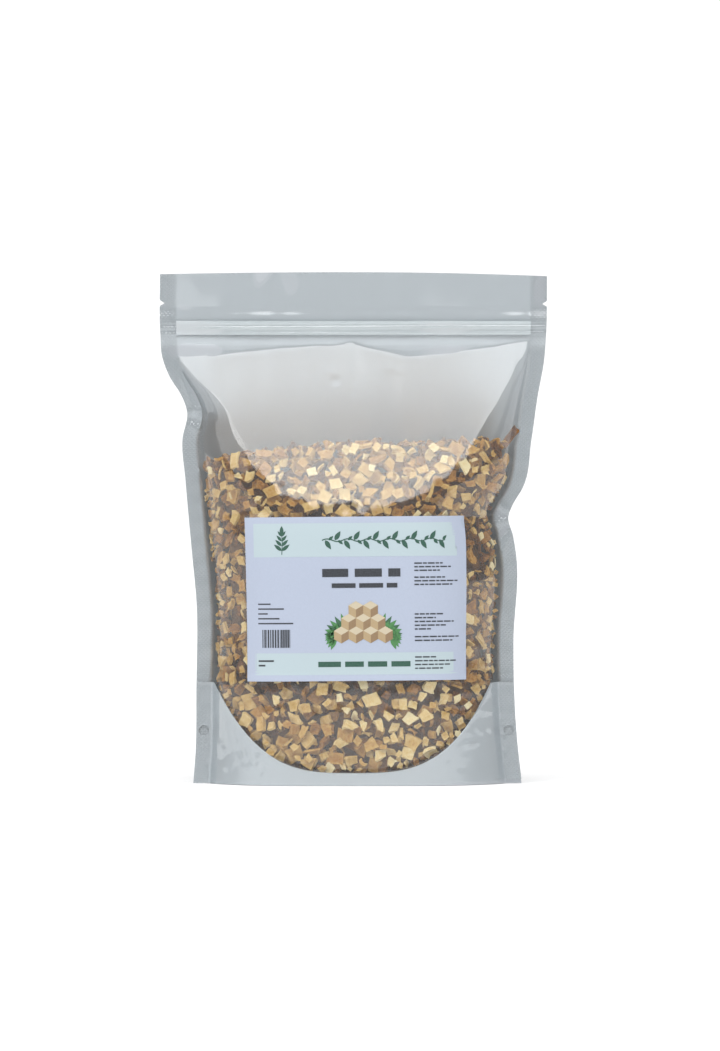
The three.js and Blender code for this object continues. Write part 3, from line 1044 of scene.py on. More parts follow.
@dataclass
class Core:
    """The inside of the heap, behind the cubes that can be seen, painted dark as the shade between them."""

    form: PouchForm
    inset: float = 15.0
    top: float = 200.0
    width_share: float = 0.86
    cuts: int = 15

    def build(self, name: str) -> bpy.types.Object:
        """Makes the core from a cut-up cube, bent to the pouch's form.

        Args:
            name: The piece's name.

        Returns:
            A closed solid.
        """
        bpy.ops.object.select_all(action="DESELECT")
        bpy.ops.mesh.primitive_cube_add(size=2)
        obj = name_new(name)
        bpy.ops.object.mode_set(mode="EDIT")
        bpy.ops.mesh.select_all(action="SELECT")
        bpy.ops.mesh.subdivide(number_cuts=self.cuts)
        bpy.ops.object.mode_set(mode="OBJECT")
        block = coordinates(obj.data)
        rise = (block[:, 2] + 1) / 2
        x = block[:, 0] * self.form.inner(block[:, 0], rise * self.top) * self.width_share
        low = self.form.arc(x) + self.inset * 0.7
        z = low + (self.top - low) * rise
        room = np.maximum(self.form.bulge(x, z) - self.inset, 1.5)
        y = block[:, 1] * room
        lumps = ripples(x + 0.7 * y, z + 0.5 * y, 13, 1.3, 41)
        z = np.where(rise < 0.01, self.form.floor(x, y) + 5, z) + lumps * (rise > 0.5)
        place(obj.data, np.stack([x, y + np.sign(y) * lumps * 0.7, z], 1))
        smooth(obj, 60)
        return obj


# ---------------------------------------------------------------- label


@dataclass
class Label:
    """A paper label stuck on the front film, and the places of what is printed on it."""

    form: PouchForm
    width: float = 148.0
    height: float = 105.0
    thickness: float = 0.12
    centre: tuple[float, float] = (2.2, 119.5)
    tilt: float = math.radians(0.5)
    lift: float = 0.42

    def __post_init__(self) -> None:
        """Works out where each distance along the film lies across the pouch."""
        self.heights = np.linspace(55, 185, 66)
        self.distances = np.linspace(-82, 82, 165)
        xs = np.linspace(-95, 97, 500)
        rows = []
        for z in self.heights:
            ys = self.form.bulge(xs, z)
            length = np.concatenate([[0], np.cumsum(np.hypot(np.diff(xs), np.diff(ys)))])
            length -= np.interp(self.centre[0], xs, length)
            rows.append(np.interp(self.distances, length, xs))
        self.table = np.array(rows)

    def on_film(self, a: np.ndarray, b: np.ndarray, lift: float) -> np.ndarray:
        """Lays flat places on the label on the bulging film.

        Args:
            a: Distances to the right of the label's middle.
            b: Distances above it.
            lift: How far the places stand off the film.

        Returns:
            The places, one a row.
        """
        turned = a * math.cos(self.tilt) - b * math.sin(self.tilt)
        z = self.centre[1] + b * math.cos(self.tilt) + a * math.sin(self.tilt)
        row = (z - self.heights[0]) / (self.heights[1] - self.heights[0])
        row = np.clip(row, 0, len(self.heights) - 1.001)
        column = np.clip(turned - self.distances[0], 0, len(self.distances) - 1.001)
        i, j = row.astype(int), column.astype(int)
        s, t = row - i, column - j
        low = self.table[i, j] * (1 - t) + self.table[i, j + 1] * t
        high = self.table[i + 1, j] * (1 - t) + self.table[i + 1, j + 1] * t
        x = low * (1 - s) + high * s
        slope = self.form.bulge(x + 0.5, z) - self.form.bulge(x - 0.5, z)
        normal = np.stack([slope, -np.ones_like(slope)], 1) / np.hypot(1, slope)[:, None]
        film = np.stack([x, -self.form.depth(x, z), z], 1)
        buckle = 0.5 * np.exp(-(((a - 66) / 9) ** 2)) * (0.6 + np.sin(b / 7.0) * smoothstep(b, 5, 40))
        buckle = buckle + ripples(a, b, 45, 0.08, 51) + 0.1
        film[:, 0] += normal[:, 0] * (lift + buckle)
        film[:, 1] += normal[:, 1] * (lift + buckle)
        return film

    def build(self, name: str) -> bpy.types.Object:
        """Makes the sheet of paper.

        Args:
            name: The piece's name.

        Returns:
            A closed thin sheet.
        """
        obj = add_grid(name, 100, 70)
        flat = coordinates(obj.data)
        place(obj.data, self.on_film(flat[:, 0] * self.width / 2, flat[:, 1] * self.height / 2, self.lift))
        thicken(obj, self.thickness)
        smooth(obj, 40)
        return obj


@dataclass
class Drawing:
    """Flat shapes in one ink, drawn on the label. Places are from its lower left corner."""

    label: Label
    ink_lift: float = 0.2
    ink_thickness: float = 0.02
    finest: float = 1.5
    points: list[tuple[float, float]] = field(default_factory=list)
    faces: list[list[int]] = field(default_factory=list)

    def quad(self, corners: Sequence[tuple[float, float]]) -> None:
        """Draws a small four-sided shape.

        Args:
            corners: Its corners, anticlockwise.
        """
        start = len(self.points)
        self.points.extend(corners)
        self.faces.append([start, start + 1, start + 2, start + 3])

    def bar(self, left: float, low: float, width: float, height: float) -> None:
        """Draws an upright rectangle, cut up finely enough to follow the film.

        Args:
            left: Its left side.
            low: Its lower side.
            width: Its width.
            height: Its height.
        """
        columns, rows = (max(1, math.ceil(size / self.finest)) for size in (width, height))
        start = len(self.points)
        for j in range(rows + 1):
            for i in range(columns + 1):
                self.points.append((left + width * i / columns, low + height * j / rows))
        for j in range(rows):
            for i in range(columns):
                a = start + j * (columns + 1) + i
                self.faces.append([a, a + 1, a + columns + 2, a + columns + 1])

    def words(self, left: float, low: float, width: float, height: float, seed: int) -> None:
        """Draws a line of plain dashes as long as words are, with no letters in them.

        Args:
            left: Where the line starts.
            low: The dashes' lower side.
            width: The line's length.
            height: The dashes' height.
            seed: Picks their lengths.
        """
        rng = np.random.default_rng(seed)
        at = left
        while at < left + width - height:
            dash = min(rng.uniform(2.2, 6.0) * height, left + width - at)
            self.bar(at, low, dash, height)
            at += dash + 0.8 * height

    def leaf(self, root: tuple[float, float], turn: float, length: float, width: float) -> None:
        """Draws a pointed leaf.

        Args:
            root: Where its stalk meets the stem.
            turn: Its direction, in degrees anticlockwise from the right.
            length: Its length.
            width: Its greatest width.
        """
        c, s = math.cos(math.radians(turn)), math.sin(math.radians(turn))
        steps = 6
        start = len(self.points)
        for i in range(steps + 1):
            along = i / steps
            half = width / 2 * math.sin(math.pi * along**0.8) + 0.02
            for side in (-half, half):
                a, b = along * length, side
                self.points.append((root[0] + a * c - b * s, root[1] + a * s + b * c))
        for i in range(steps):
            a = start + 2 * i
            self.faces.append([a, a + 2, a + 3, a + 1])

    def stem(self, places: Sequence[tuple[float, float]], width: float) -> None:
        """Draws a thin line.

        Args:
            places: The places that it runs through.
            width: Its width.
        """
        for (x0, z0), (x1, z1) in zip(places, places[1:]):
            length = math.hypot(x1 - x0, z1 - z0)
            nx, nz = -(z1 - z0) / length * width / 2, (x1 - x0) / length * width / 2
            self.quad([(x0 - nx, z0 - nz), (x1 - nx, z1 - nz), (x1 + nx, z1 + nz), (x0 + nx, z0 + nz)])

    def build(self, name: str) -> bpy.types.Object:
        """Makes the drawing a thin layer of ink on the label.

        Args:
            name: The piece's name.

        Returns:
            The ink, a closed thin layer.
        """
        flat = np.array(self.points) - (self.label.width / 2, self.label.height / 2)
        mesh = bpy.data.meshes.new(name)
        points = self.label.on_film(flat[:, 0], flat[:, 1], self.label.lift + self.ink_lift)
        mesh.from_pydata(points * MM, [], self.faces)
        obj = bpy.data.objects.new(name, mesh)
        bpy.context.scene.collection.objects.link(obj)
        thicken(obj, self.ink_thickness)
        return obj


class Ink(Enum):
    """The label's inks, by the colour that each dries to."""

    BAND = "#b1c1c6"
    GREEN = "#0f4a33"
    BLACK = "#1c1f22"
    LEAF = "#3f7d3a"
    LEAF_DARK = "#235a2b"
    CREAM = "#c4b79b"
    TAN = "#ac946c"
    BROWN = "#8a6f4a"


@dataclass
class LabelPrint:
    """A plain printed design: pale bands, leaf ornaments, dashes for text and a pile of cubes."""

    label: Label

    def sprig(self, pen: Drawing, foot: tuple[float, float], height: float) -> None:
        """Draws an upright stem with leaves to both sides.

        Args:
            pen: What draws it.
            foot: The stem's foot.
            height: Its height.
        """
        x, z = foot
        pen.stem([(x, z), (x + 0.4, z + height * 0.45), (x, z + height * 0.8)], 0.5)
        pen.leaf((x, z + height * 0.72), 90, height * 0.3, height * 0.14)
        for i in range(4):
            at = z + height * (0.14 + 0.17 * i)
            size = height * (0.36 - 0.04 * i)
            pen.leaf((x, at), 38 + 5 * i, size, size * 0.36)
            pen.leaf((x, at), 142 - 5 * i, size, size * 0.36)

    def garland(self, pen: Drawing, left: float, low: float, width: float, height: float) -> None:
        """Draws a level vine whose leaves point up and down in turn.

        Args:
            pen: What draws it.
            left: Its left end.
            low: Its lower side.
            width: Its length.
            height: How far its leaves reach.
        """
        count = 13
        middle = low + height / 2
        line = [(left + width * i / 60, middle + 0.9 * math.sin(i * math.pi / 5)) for i in range(61)]
        pen.stem(line, 0.7)
        for i in range(count):
            x = left + width * (i + 0.5) / count
            up = 1 if i % 2 else -1
            pen.leaf((x - 1, middle), 58 * up, height * 0.62, height * 0.27)
            pen.leaf((x + 1.2, middle), -42 * up, height * 0.36, height * 0.17)

    def cube(self, pens: dict[Ink, Drawing], x: float, z: float, size: float) -> None:
        """Draws a cube seen from a corner: a light top and two darker sides.

        Args:
            pens: The drawing in each ink.
            x: Its lowest corner, across.
            z: Its lowest corner, upwards.
            size: Its edges' length.
        """
        w, h = size * 0.87, size * 0.5
        top = z + size
        pens[Ink.CREAM].quad([(x, top), (x + w, top + h), (x, top + 2 * h), (x - w, top + h)])
        pens[Ink.TAN].quad([(x - w, z + h), (x, z), (x, top), (x - w, top + h)])
        pens[Ink.BROWN].quad([(x, z), (x + w, z + h), (x + w, top + h), (x, top)])

    def build(self) -> dict[Ink, bpy.types.Object]:
        """Draws the whole design.

        Returns:
            One piece for each ink.
        """
        pens = {ink: Drawing(self.label) for ink in Ink}
        pens[Ink.BAND].ink_lift = 0.13
        for ink in (Ink.CREAM, Ink.TAN, Ink.BROWN):
            pens[ink].ink_lift = 0.23
        for ink in (Ink.GREEN, Ink.BLACK):
            pens[ink].ink_lift = 0.24
        pens[Ink.BAND].bar(6.5, 79.5, 138.5, 21.5)
        pens[Ink.BAND].bar(6.5, 4.0, 138.5, 14.0)
        self.sprig(pens[Ink.GREEN], (26.0, 81.0), 18.0)
        self.garland(pens[Ink.GREEN], 52.0, 84.5, 80.0, 11.0)
        self.words(pens)
        self.picture(pens)
        return {ink: pen.build(f"label_ink_{ink.name.lower()}") for ink, pen in pens.items()}

    def words(self, pens: dict[Ink, Drawing]) -> None:
        """Draws the dashes that stand for text, and a block of upright bars.

        Args:
            pens: The drawing in each ink.
        """
        black = pens[Ink.BLACK]
        black.words(52, 66.5, 50, 5.2, 2)
        black.words(58, 59.5, 42, 2.9, 5)
        pens[Ink.GREEN].words(49, 9.0, 59, 3.4, 6)
        for i, width in enumerate((9, 18, 7, 15, 24)):
            black.bar(9, 49 - 3.1 * i, width, 0.85)
        for i, width in enumerate((19, 26, 17)):
            black.words(111, 74.5 - 2.3 * i, width, 0.85, 10 + i)
        for i, width in enumerate((22, 30, 26)):
            black.words(111, 65.5 - 2.3 * i, width, 0.85, 20 + i)
        for i, width in enumerate((19, 14, 27, 22, 12)):
            black.words(111, 42.0 - 2.4 * i, width, 0.85, 30 + i)
        for i, width in enumerate((31, 26)):
            black.words(111, 27.5 - 2.4 * i, width, 0.85, 40 + i)
        for i, width in enumerate((15, 30, 24, 20)):
            black.words(111, 14.5 - 2.4 * i, width, 0.85, 50 + i)
        black.bar(9, 12.5, 11, 1.1)
        black.bar(9, 9.6, 5, 1.1)
        rng = np.random.default_rng(9)
        at = 12.0
        while at < 31.5:
            width = rng.choice([0.35, 0.7, 1.05])
            black.bar(at, 21.5, width, 11.5)
            at += width + rng.choice([0.35, 0.7])

    def picture(self, pens: dict[Ink, Drawing]) -> None:
        """Draws a pile of cubes with fans of leaves to both sides.

        Args:
            pens: The drawing in each ink.
        """
        for side in (-1, 1):
            for i in range(9):
                turn = 90 - side * (18 + 14 * i)
                root = (78 + side * (9 + 0.6 * i), 27 + 0.5 * i)
                pens[Ink.LEAF_DARK if i % 2 else Ink.LEAF].leaf(root, turn, 17 - 0.8 * i, 4.6)
                tip = (root[0] + 5 * math.cos(math.radians(turn)), root[1] + 5 * math.sin(math.radians(turn)))
                pens[Ink.LEAF].leaf(tip, turn - 28 * side, 8.5, 3.0)
        size = 5.4
        for row, count in enumerate((4, 3, 2)):
            for i in range(count):
                self.cube(pens, 78 + (i - (count - 1) / 2) * size * 1.74, 24 + row * size * 1.5, size)


# ---------------------------------------------------------------- materials


def new_material(name: str) -> tuple[bpy.types.Material, bpy.types.NodeTree, bpy.types.Node]:
    """Starts an empty material.

    Args:
        name: Its name.

    Returns:
        The material, its tree and its output node.
    """
    material = bpy.data.materials.new(name)
    material.use_nodes = True
    material.node_tree.nodes.clear()
    return material, material.node_tree, add_node(material.node_tree, "OutputMaterial")


def knurl(tree: bpy.types.NodeTree, pitch: float) -> bpy.types.NodeSocket:
    """Crossed grooves that the sealing jaws press into a film.

    Args:
        tree: The node tree.
        pitch: Distance from groove to groove, in millimetres.

    Returns:
        The height, from 0 to 1, only where the film is sealed.
    """
    place_on = add_node(tree, "TexCoord").outputs["Object"]
    grooves = []
    for turn in (45, -45):
        rotation = (0, math.radians(turn), 0)
        turned = add_node(tree, "Mapping", {"Vector": place_on, "Rotation": rotation, "Scale": (1 / MM,) * 3})
        # The wave texture's bands lie 0.314 apart at a scale of 1.
        wave = add_node(
            tree, "TexWave", {"Vector": turned.outputs[0], "Scale": 0.31416 / pitch}, bands_direction="X"
        )
        grooves.append(wave.outputs["Fac"])
    crossed = add_node(tree, "Math", {0: grooves[0], 1: grooves[1]}, operation="MULTIPLY")
    sealed = add_node(tree, "Attribute", attribute_name="seal")
    height = add_node(tree, "Math", {0: crossed.outputs[0], 1: sealed.outputs["Fac"]}, operation="MULTIPLY")
    return height.outputs[0]


@dataclass(frozen=True)
class ClearFilm:
    """Clear polyester and polyethylene laminate, cast smooth: glossy, with a faint milkiness."""

    tint: str = "#fdfefe"
    haze: str = "#dfe5e8"
    haze_share: float = 0.012
    roughness: float = 0.09
    reflectance: float = 0.051

    def make(self) -> bpy.types.Material:
        """Makes the material.

        Returns:
            The material.
        """
        material, tree, output = new_material("clear_laminate")
        grooves = knurl(tree, SEAL_PITCH)
        bump = add_node(tree, "Bump", {"Height": grooves, "Strength": 0.7, "Distance": SEAL_DEPTH * MM})
        clear = add_node(tree, "BsdfTransparent", {"Color": srgb(self.tint)})
        milk = add_node(tree, "BsdfDiffuse", {"Color": srgb(self.haze)})
        body = add_node(tree, "MixShader", {0: self.haze_share, 1: clear.outputs[0], 2: milk.outputs[0]})
        gloss = add_node(
            tree,
            "BsdfGlossy",
            {"Color": (1, 1, 1, 1), "Roughness": self.roughness, "Normal": bump.outputs[0]},
        )
        # Schlick's rise towards grazing views, the same on both faces of the film.
        slant = add_node(tree, "LayerWeight", {"Blend": 0.5, "Normal": bump.outputs[0]})
        steep = add_node(tree, "Math", {0: slant.outputs["Facing"], 1: 5.0}, operation="POWER")
        mirror = add_node(
            tree,
            "Math",
            {0: steep.outputs[0], 1: 1 - self.reflectance, 2: self.reflectance},
            operation="MULTIPLY_ADD",
        )
        mixed = add_node(tree, "MixShader", {0: mirror.outputs[0], 1: body.outputs[0], 2: gloss.outputs[0]})
        tree.links.new(mixed.outputs[0], output.inputs["Surface"])
        return material


@dataclass(frozen=True)
class SilverFilm:
    """Aluminised polyester laminate: a soft grey mirror with fine slack in it."""

    colour: str = "#b9bec3"
    sealed: str = "#a3a8ad"
    roughness: float = 0.45

    def make(self) -> bpy.types.Material:
        """Makes the material.

        Returns:
            The material.
        """
        material, tree, output = new_material("aluminised_laminate")
        place_on = add_node(tree, "TexCoord").outputs["Object"]
        # Slack of about 8 mm, and the fine orange peel of the laminate at 1.5 mm.
        slack = add_node(tree, "TexNoise", {"Vector": place_on, "Scale": 120.0, "Detail": 3.0})
        peel = add_node(tree, "TexNoise", {"Vector": place_on, "Scale": 650.0, "Detail": 2.0})
        soft = add_node(
            tree, "Bump", {"Height": slack.outputs["Fac"], "Strength": 0.28, "Distance": 0.35 * MM}
        )
        fine = add_node(
            tree,
            "Bump",
            {
                "Height": peel.outputs["Fac"],
                "Strength": 0.1,
                "Distance": 0.06 * MM,
                "Normal": soft.outputs[0],
            },
        )
        grooves = knurl(tree, SEAL_PITCH)
        pressed = add_node(
            tree,
            "Bump",
            {"Height": grooves, "Strength": 0.9, "Distance": SEAL_DEPTH * MM, "Normal": fine.outputs[0]},
        )
        seal = add_node(tree, "Attribute", attribute_name="seal")
        dulled = add_node(tree, "Mix", {"A": srgb(self.colour), "B": srgb(self.sealed)}, data_type="RGBA")
        tree.links.new(seal.outputs["Fac"], dulled.inputs["Factor"])
        metal = add_node(
            tree,
            "BsdfPrincipled",
            {
                "Base Color": dulled.outputs["Result"],
                "Metallic": 0.5,
                "Roughness": self.roughness,
                "Normal": pressed.outputs[0],
            },
        )
        tree.links.new(metal.outputs[0], output.inputs["Surface"])
        return material


@dataclass(frozen=True)
class ZipPlastic:
    """Natural polyethylene, extruded: waxy and a little see-through."""

    colour: str = "#dfe4e7"
    clear_share: float = 0.45

    def make(self) -> bpy.types.Material:
        """Makes the material.

        Returns:
            The material.
        """
        material, tree, output = new_material("natural_polyethylene")
        place_on = add_node(tree, "TexCoord").outputs["Object"]
        drawn = add_node(tree, "Mapping", {"Vector": place_on, "Scale": (40, 900, 900)})
        streaks = add_node(tree, "TexNoise", {"Vector": drawn.outputs[0], "Scale": 1.0, "Detail": 2.0})
        bump = add_node(
            tree, "Bump", {"Height": streaks.outputs["Fac"], "Strength": 0.3, "Distance": 0.05 * MM}
        )
        body = add_node(
            tree,
            "BsdfPrincipled",
            {"Base Color": srgb(self.colour), "Roughness": 0.3, "Normal": bump.outputs[0]},
        )
        clear = add_node(tree, "BsdfTransparent", {"Color": srgb("#f2f5f6")})
        mixed = add_node(tree, "MixShader", {0: self.clear_share, 1: body.outputs[0], 2: clear.outputs[0]})
        tree.links.new(mixed.outputs[0], output.inputs["Surface"])
        return material


@dataclass(frozen=True)
class DriedRoot:
    """Air-dried root: matt, porous and fibrous, cream to brown from cube to cube and in blotches, painted
    lighter at the cubes' edges as a highlight and darker in the sunken middles of their faces as shade.
    """

    roughness: float = 0.88

    def make(self) -> bpy.types.Material:
        """Makes the material.

        Returns:
            The material.
        """
        material, tree, output = new_material("air_dried_root")
        grain = add_node(tree, "Attribute", attribute_name="grain").outputs["Vector"]
        # The tone holds each cube's random tone and the painted shade of the deep cubes.
        tone = add_node(tree, "Attribute", attribute_name="tone").outputs["Fac"]
        rim_highlight = add_node(tree, "Attribute", attribute_name="rim_highlight").outputs["Fac"]
        # Blotches of 3 mm, fibres 0.7 mm apart and pores of 0.4 mm.
        blotch = add_node(tree, "TexNoise", {"Vector": grain, "Scale": 0.33, "Detail": 4.0, "Roughness": 0.6})
        stretched = add_node(tree, "Mapping", {"Vector": grain, "Scale": (1.4, 0.25, 1.0)})
        fibre = add_node(tree, "TexNoise", {"Vector": stretched.outputs[0], "Scale": 1.0, "Detail": 3.0})
        pores = add_node(tree, "TexNoise", {"Vector": grain, "Scale": 2.4, "Detail": 3.0})
        shade = add_node(
            tree, "Math", {0: blotch.outputs["Fac"], 1: 0.5, 2: tone}, operation="MULTIPLY_ADD"
        )
        streaked = add_node(
            tree, "Math", {0: fibre.outputs["Fac"], 1: 0.3, 2: shade.outputs[0]}, operation="MULTIPLY_ADD"
        )
        # Painted highlight and shade: lighter towards each cube's edges, darker in the sunken middles of its
        # faces.
        edged = add_node(tree, "Math", {0: rim_highlight, 1: 0.1, 2: streaked.outputs[0]}, operation="MULTIPLY_ADD")
        level = add_node(tree, "Math", {0: edged.outputs[0], 1: 0.42}, operation="SUBTRACT")
        colour = add_node(
            tree,
            "ValToRGB",
            {"Fac": level.outputs[0]},
            stops={
                0.0: "#311a05",
                0.2: "#704211",
                0.4: "#ad7932",
                0.6: "#c7a05a",
                0.8: "#d9bc80",
                1.0: "#e4d3a6",
            },
        )
        relief = add_node(
            tree, "Math", {0: pores.outputs["Fac"], 1: 0.5, 2: fibre.outputs["Fac"]}, operation="MULTIPLY_ADD"
        )
        bump = add_node(tree, "Bump", {"Height": relief.outputs[0], "Strength": 0.6, "Distance": 0.35 * MM})
        body = add_node(
            tree,
            "BsdfPrincipled",
            {
                "Base Color": colour.outputs["Color"],
                "Roughness": self.roughness,
                "Specular IOR Level": 0.3,
                "Normal": bump.outputs[0],
            },
        )
        tree.links.new(body.outputs[0], output.inputs["Surface"])
        return material


@dataclass(frozen=True)
class NodeRoot:
    """The same dried root on the frame's own cubes, which carry no grain of their own."""

    def make(self) -> bpy.types.Material:
        """Makes the material.

        Returns:
            The material.
        """
        material, tree, output = new_material("air_dried_root_cut")
        place_on = add_node(tree, "TexCoord").outputs["Object"]
        blotch = add_node(
            tree, "TexNoise", {"Vector": place_on, "Scale": 260.0, "Detail": 5.0, "Roughness": 0.6}
        )
        pores = add_node(tree, "TexNoise", {"Vector": place_on, "Scale": 1500.0, "Detail": 3.0})
        # Cream where the cut is clean, tan in the blotches.
        colour = add_node(
            tree,
            "ValToRGB",
            {"Fac": blotch.outputs["Fac"]},
            stops={0.25: "#9d6a29", 0.45: "#bd8f4b", 0.6: "#cda866", 0.8: "#dbc28a"},
        )
        bump = add_node(
            tree, "Bump", {"Height": pores.outputs["Fac"], "Strength": 0.6, "Distance": 0.35 * MM}
        )
        body = add_node(
            tree,
            "BsdfPrincipled",
            {
                "Base Color": colour.outputs["Color"],
                "Roughness": DriedRoot.roughness,
                "Normal": bump.outputs[0],
            },
        )
        tree.links.new(body.outputs[0], output.inputs["Surface"])
        return material


@dataclass(frozen=True)
class PaintedShadeRoot:
    """Dried root deep in the heap, painted dark brown as the shade where little light comes, darkest at the
    edges of its cells.
    """

    def make(self) -> bpy.types.Material:
        """Makes the material.

        Returns:
            The material.
        """
        material, tree, output = new_material("air_dried_root_painted_shade")
        place_on = add_node(tree, "TexCoord").outputs["Object"]
        cells = add_node(tree, "TexVoronoi", {"Vector": place_on, "Scale": 130.0})
        # Painted shade: dark brown, darkest at the cells' edges like the gaps between cubes.
        colour = add_node(
            tree,
            "ValToRGB",
            {"Fac": cells.outputs["Distance"]},
            stops={0.0: "#8a5f2c", 0.5: "#66421c", 1.0: "#38210c"},
        )
        bump = add_node(
            tree, "Bump", {"Height": cells.outputs["Distance"], "Strength": 0.8, "Distance": 2 * MM}
        )
        body = add_node(
            tree,
            "BsdfPrincipled",
            {"Base Color": colour.outputs["Color"], "Roughness": 0.95, "Normal": bump.outputs[0]},
        )
        tree.links.new(body.outputs[0], output.inputs["Surface"])
        return material


@dataclass(frozen=True)
class Paper:
    """Coated label paper: white with a cool cast, smooth, with a soft sheen."""

    colour: str = "#aeb7c9"
    shaded: str = "#a9b2c4"

    def make(self) -> bpy.types.Material:
        """Makes the material.

        Returns:
            The material.
        """
        material, tree, output = new_material("coated_paper")
        place_on = add_node(tree, "TexCoord").outputs["Object"]
        fibre = add_node(tree, "TexNoise", {"Vector": place_on, "Scale": 900.0, "Detail": 3.0})
        colour = add_node(
            tree, "ValToRGB", {"Fac": fibre.outputs["Fac"]}, stops={0.2: self.shaded, 0.8: self.colour}
        )
        bump = add_node(
            tree, "Bump", {"Height": fibre.outputs["Fac"], "Strength": 0.15, "Distance": 0.05 * MM}
        )
        body = add_node(
            tree,
            "BsdfPrincipled",
            {"Base Color": colour.outputs["Color"], "Roughness": 0.5, "Normal": bump.outputs[0]},
        )
        tree.links.new(body.outputs[0], output.inputs["Surface"])
        return material


@dataclass(frozen=True)
class PrintInk:
    """Offset ink on coated paper: even, with the paper's fine tooth in it."""

    ink: Ink

    def make(self) -> bpy.types.Material:
        """Makes the material.

        Returns:
            The material.
        """
        material, tree, output = new_material(f"ink_{self.ink.name.lower()}")
        place_on = add_node(tree, "TexCoord").outputs["Object"]
        tooth = add_node(tree, "TexNoise", {"Vector": place_on, "Scale": 1200.0, "Detail": 2.0})
        faded = add_node(tree, "Mix", {"A": srgb(self.ink.value), "B": srgb(Paper.colour)}, data_type="RGBA")
        thin = add_node(tree, "Math", {0: tooth.outputs["Fac"], 1: 0.12}, operation="MULTIPLY")
        tree.links.new(thin.outputs[0], faded.inputs["Factor"])
        body = add_node(tree, "BsdfPrincipled", {"Roughness": 0.45})
        tree.links.new(faded.outputs["Result"], body.inputs["Base Color"])
        tree.links.new(body.outputs[0], output.inputs["Surface"])
        return material


# ---------------------------------------------------------------- studio


@dataclass
class Studio:
    """Camera, a big soft light high in front, a weaker one at each side, and a pale floor."""

    distance: float = 4.5
    view_span: float = 0.679
    camera_height: float = 0.1663
    camera_side: float = 0.0042
    light_strength: float = 1.52
    light_angle: float = math.radians(46)
    light_height: float = math.radians(49)
    side_strengths: tuple[float, float] = (0.8, 0.3)
    side_angle: float = math.radians(60)
    side_height: float = math.radians(36)
    side_turn: float = math.radians(58)
    room_grey: float = 0.5
    floor_glow: float = 0.2

    def camera(self) -> None:
        """Stands the camera level in front of the pouch."""
        bpy.ops.object.camera_add(
            location=(self.camera_side, -self.distance, self.camera_height), rotation=(math.pi / 2, 0, 0)
        )
        camera = bpy.context.active_object
        camera.name = "camera"
        camera.data.sensor_fit = "VERTICAL"
        camera.data.sensor_height = 36
        camera.data.lens = 36 * self.distance / self.view_span
        camera.data.clip_end = 200
        bpy.context.scene.camera = camera

    def light(self, name: str, strength: float, angle: float, height: float, turn: float) -> None:
        """Hangs one wide soft light.

        Args:
            name: Its name.
            strength: How much light it gives, in watts on a square metre.
            angle: How wide it looks.
            height: How high it hangs over the floor's plane.
            turn: How far it hangs round to the right.
        """
        bpy.ops.object.light_add(type="SUN", location=(0, -1, 2))
        sun = bpy.context.active_object
        sun.name = name
        sun.data.energy = strength
        sun.data.angle = angle
        sun.rotation_euler = Euler((math.pi / 2 - height, 0, turn))

    def room(self) -> None:
        """Sets the room's grey, and the white backdrop that the camera sees."""
        world = bpy.data.worlds.new("room")
        bpy.context.scene.world = world
        world.use_nodes = True
        tree = world.node_tree
        tree.nodes.clear()
        seen = add_node(tree, "LightPath").outputs["Is Camera Ray"]
        room = add_node(tree, "Background", {"Color": (self.room_grey,) * 3 + (1,), "Strength": 1.0})
        backdrop = add_node(tree, "Background", {"Color": (1, 1, 1, 1), "Strength": 1.1})
        mixed = add_node(tree, "MixShader", {0: seen, 1: room.outputs[0], 2: backdrop.outputs[0]})
        output = add_node(tree, "OutputWorld")
        tree.links.new(mixed.outputs[0], output.inputs["Surface"])

    def floor(self) -> None:
        """Lays the pale floor, just under the pouch."""
        bpy.ops.object.select_all(action="DESELECT")
        bpy.ops.mesh.primitive_plane_add(size=60, location=(0, 0, -0.0004))
        floor = name_new("floor")
        material, tree, output = new_material("painted_floor")
        body = add_node(
            tree,
            "BsdfPrincipled",
            {
                "Base Color": (0.92, 0.92, 0.92, 1),
                "Roughness": 1.0,
                "Specular IOR Level": 0.0,
                "Emission Color": (1, 1, 1, 1),
                "Emission Strength": self.floor_glow,
            },
        )
        tree.links.new(body.outputs[0], output.inputs["Surface"])
        floor.data.materials.append(material)

    def build(self) -> None:
        """Sets up the whole studio."""
        self.camera()
        self.light("key_light", self.light_strength, self.light_angle, self.light_height, 0.0)
        for name, strength, turn in zip(("left_light", "right_light"), self.side_strengths, (-1, 1)):
            self.light(name, strength, self.side_angle, self.side_height, turn * self.side_turn)
        self.room()
        self.floor()
        scene = bpy.context.scene
        scene.view_settings.view_transform = "Standard"
        scene.view_settings.look = "None"


# ---------------------------------------------------------------- the whole pouch


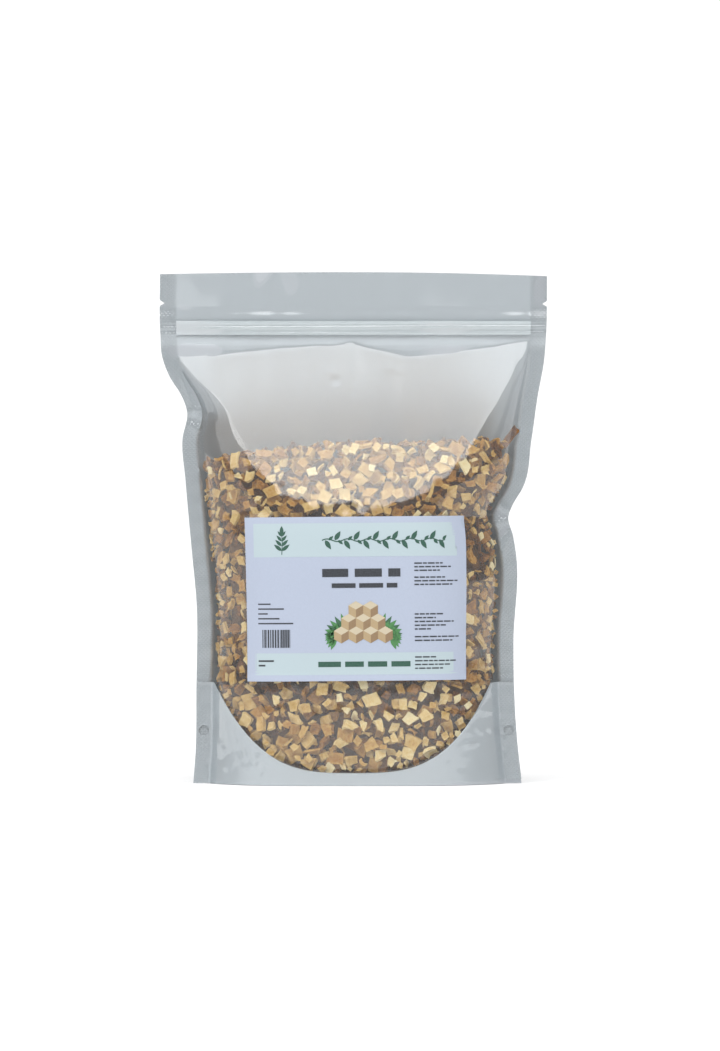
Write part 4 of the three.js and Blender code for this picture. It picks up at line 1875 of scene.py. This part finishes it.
@dataclass
class Pouch:
    """The pouch and all that is in and on it."""

    form: PouchForm = field(default_factory=PouchForm)

    def films(self) -> None:
        """Makes the three films."""
        clear, silver = ClearFilm().make(), SilverFilm().make()
        front = Panel(self.form, Side.FRONT, columns=180, row_spacing=1.6)
        finish_piece(front.build("clear_front_film"), clear, "clear_film", "front_panel")
        back = Panel(self.form, Side.BACK, columns=130, row_spacing=2.3).build("silver_back_film")
        finish_piece(back, silver, "silver_film", "back_panel")
        gusset = Gusset(self.form).build("silver_bottom_gusset", front)
        finish_piece(gusset, silver, "silver_film", "bottom_gusset")

    def zip_strips(self) -> None:
        """Dresses the frame's own zip strips."""
        plastic = ZipPlastic().make()
        for name in ("zip_channel_strip", "zip_arrow_strip"):
            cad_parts[name].data.materials.clear()
            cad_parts[name].data.materials.append(plastic)

    def label(self) -> None:
        """Makes the label and its print."""
        label = Label(self.form)
        finish_piece(label.build("paper_label"), Paper().make(), "label_paper", "front_label")
        for ink, piece in LabelPrint(label).build().items():
            finish_piece(piece, PrintInk(ink).make(), "label_paper")

    def root(self) -> None:
        """Makes the diced root: the cubes that can be seen, and the core behind them, painted dark as shade.

        None are laid behind the middle of the label, which hides them.
        """
        chips = Chips()
        chips.model()
        heap = Heap(self.form, chips)
        heap.seed_nodes()
        heap.stuck()
        across, up = Label.centre
        heap.against_front(lambda x, z: abs(x - across) < 54 and abs(z - up) < 40)
        heap.along_seals()
        in_front = len(heap.cubes)
        heap.on_top()
        log.info("cubes: %d against the front, %d on top", in_front, len(heap.cubes) - in_front)
        dried = DriedRoot().make()
        front, top = heap.cubes[:in_front], heap.cubes[in_front:]
        groups = {
            "root_cubes_left": [cube for cube in front if cube.centre[0] < 0],
            "root_cubes_right": [cube for cube in front if cube.centre[0] >= 0],
            "root_cubes_top": top,
        }
        for name, cubes in groups.items():
            finish_piece(heap.mesh(name, cubes), dried, "dried_root")
        finish_piece(Core(self.form).build("root_core_painted_shade"), PaintedShadeRoot().make(), "dried_root", "root_bed")
        cut = NodeRoot().make()
        for name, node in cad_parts.items():
            if name.startswith("root_cube"):
                node.data.materials.clear()
                node.data.materials.append(cut)


def main() -> None:
    """Builds the studio and the pouch."""
    logging.basicConfig(level=logging.INFO, format="%(name)s: %(message)s")
    Studio().build()
    pouch = Pouch()
    pouch.films()
    pouch.zip_strips()
    pouch.label()
    pouch.root()


if __name__ == "__main__":
    main()
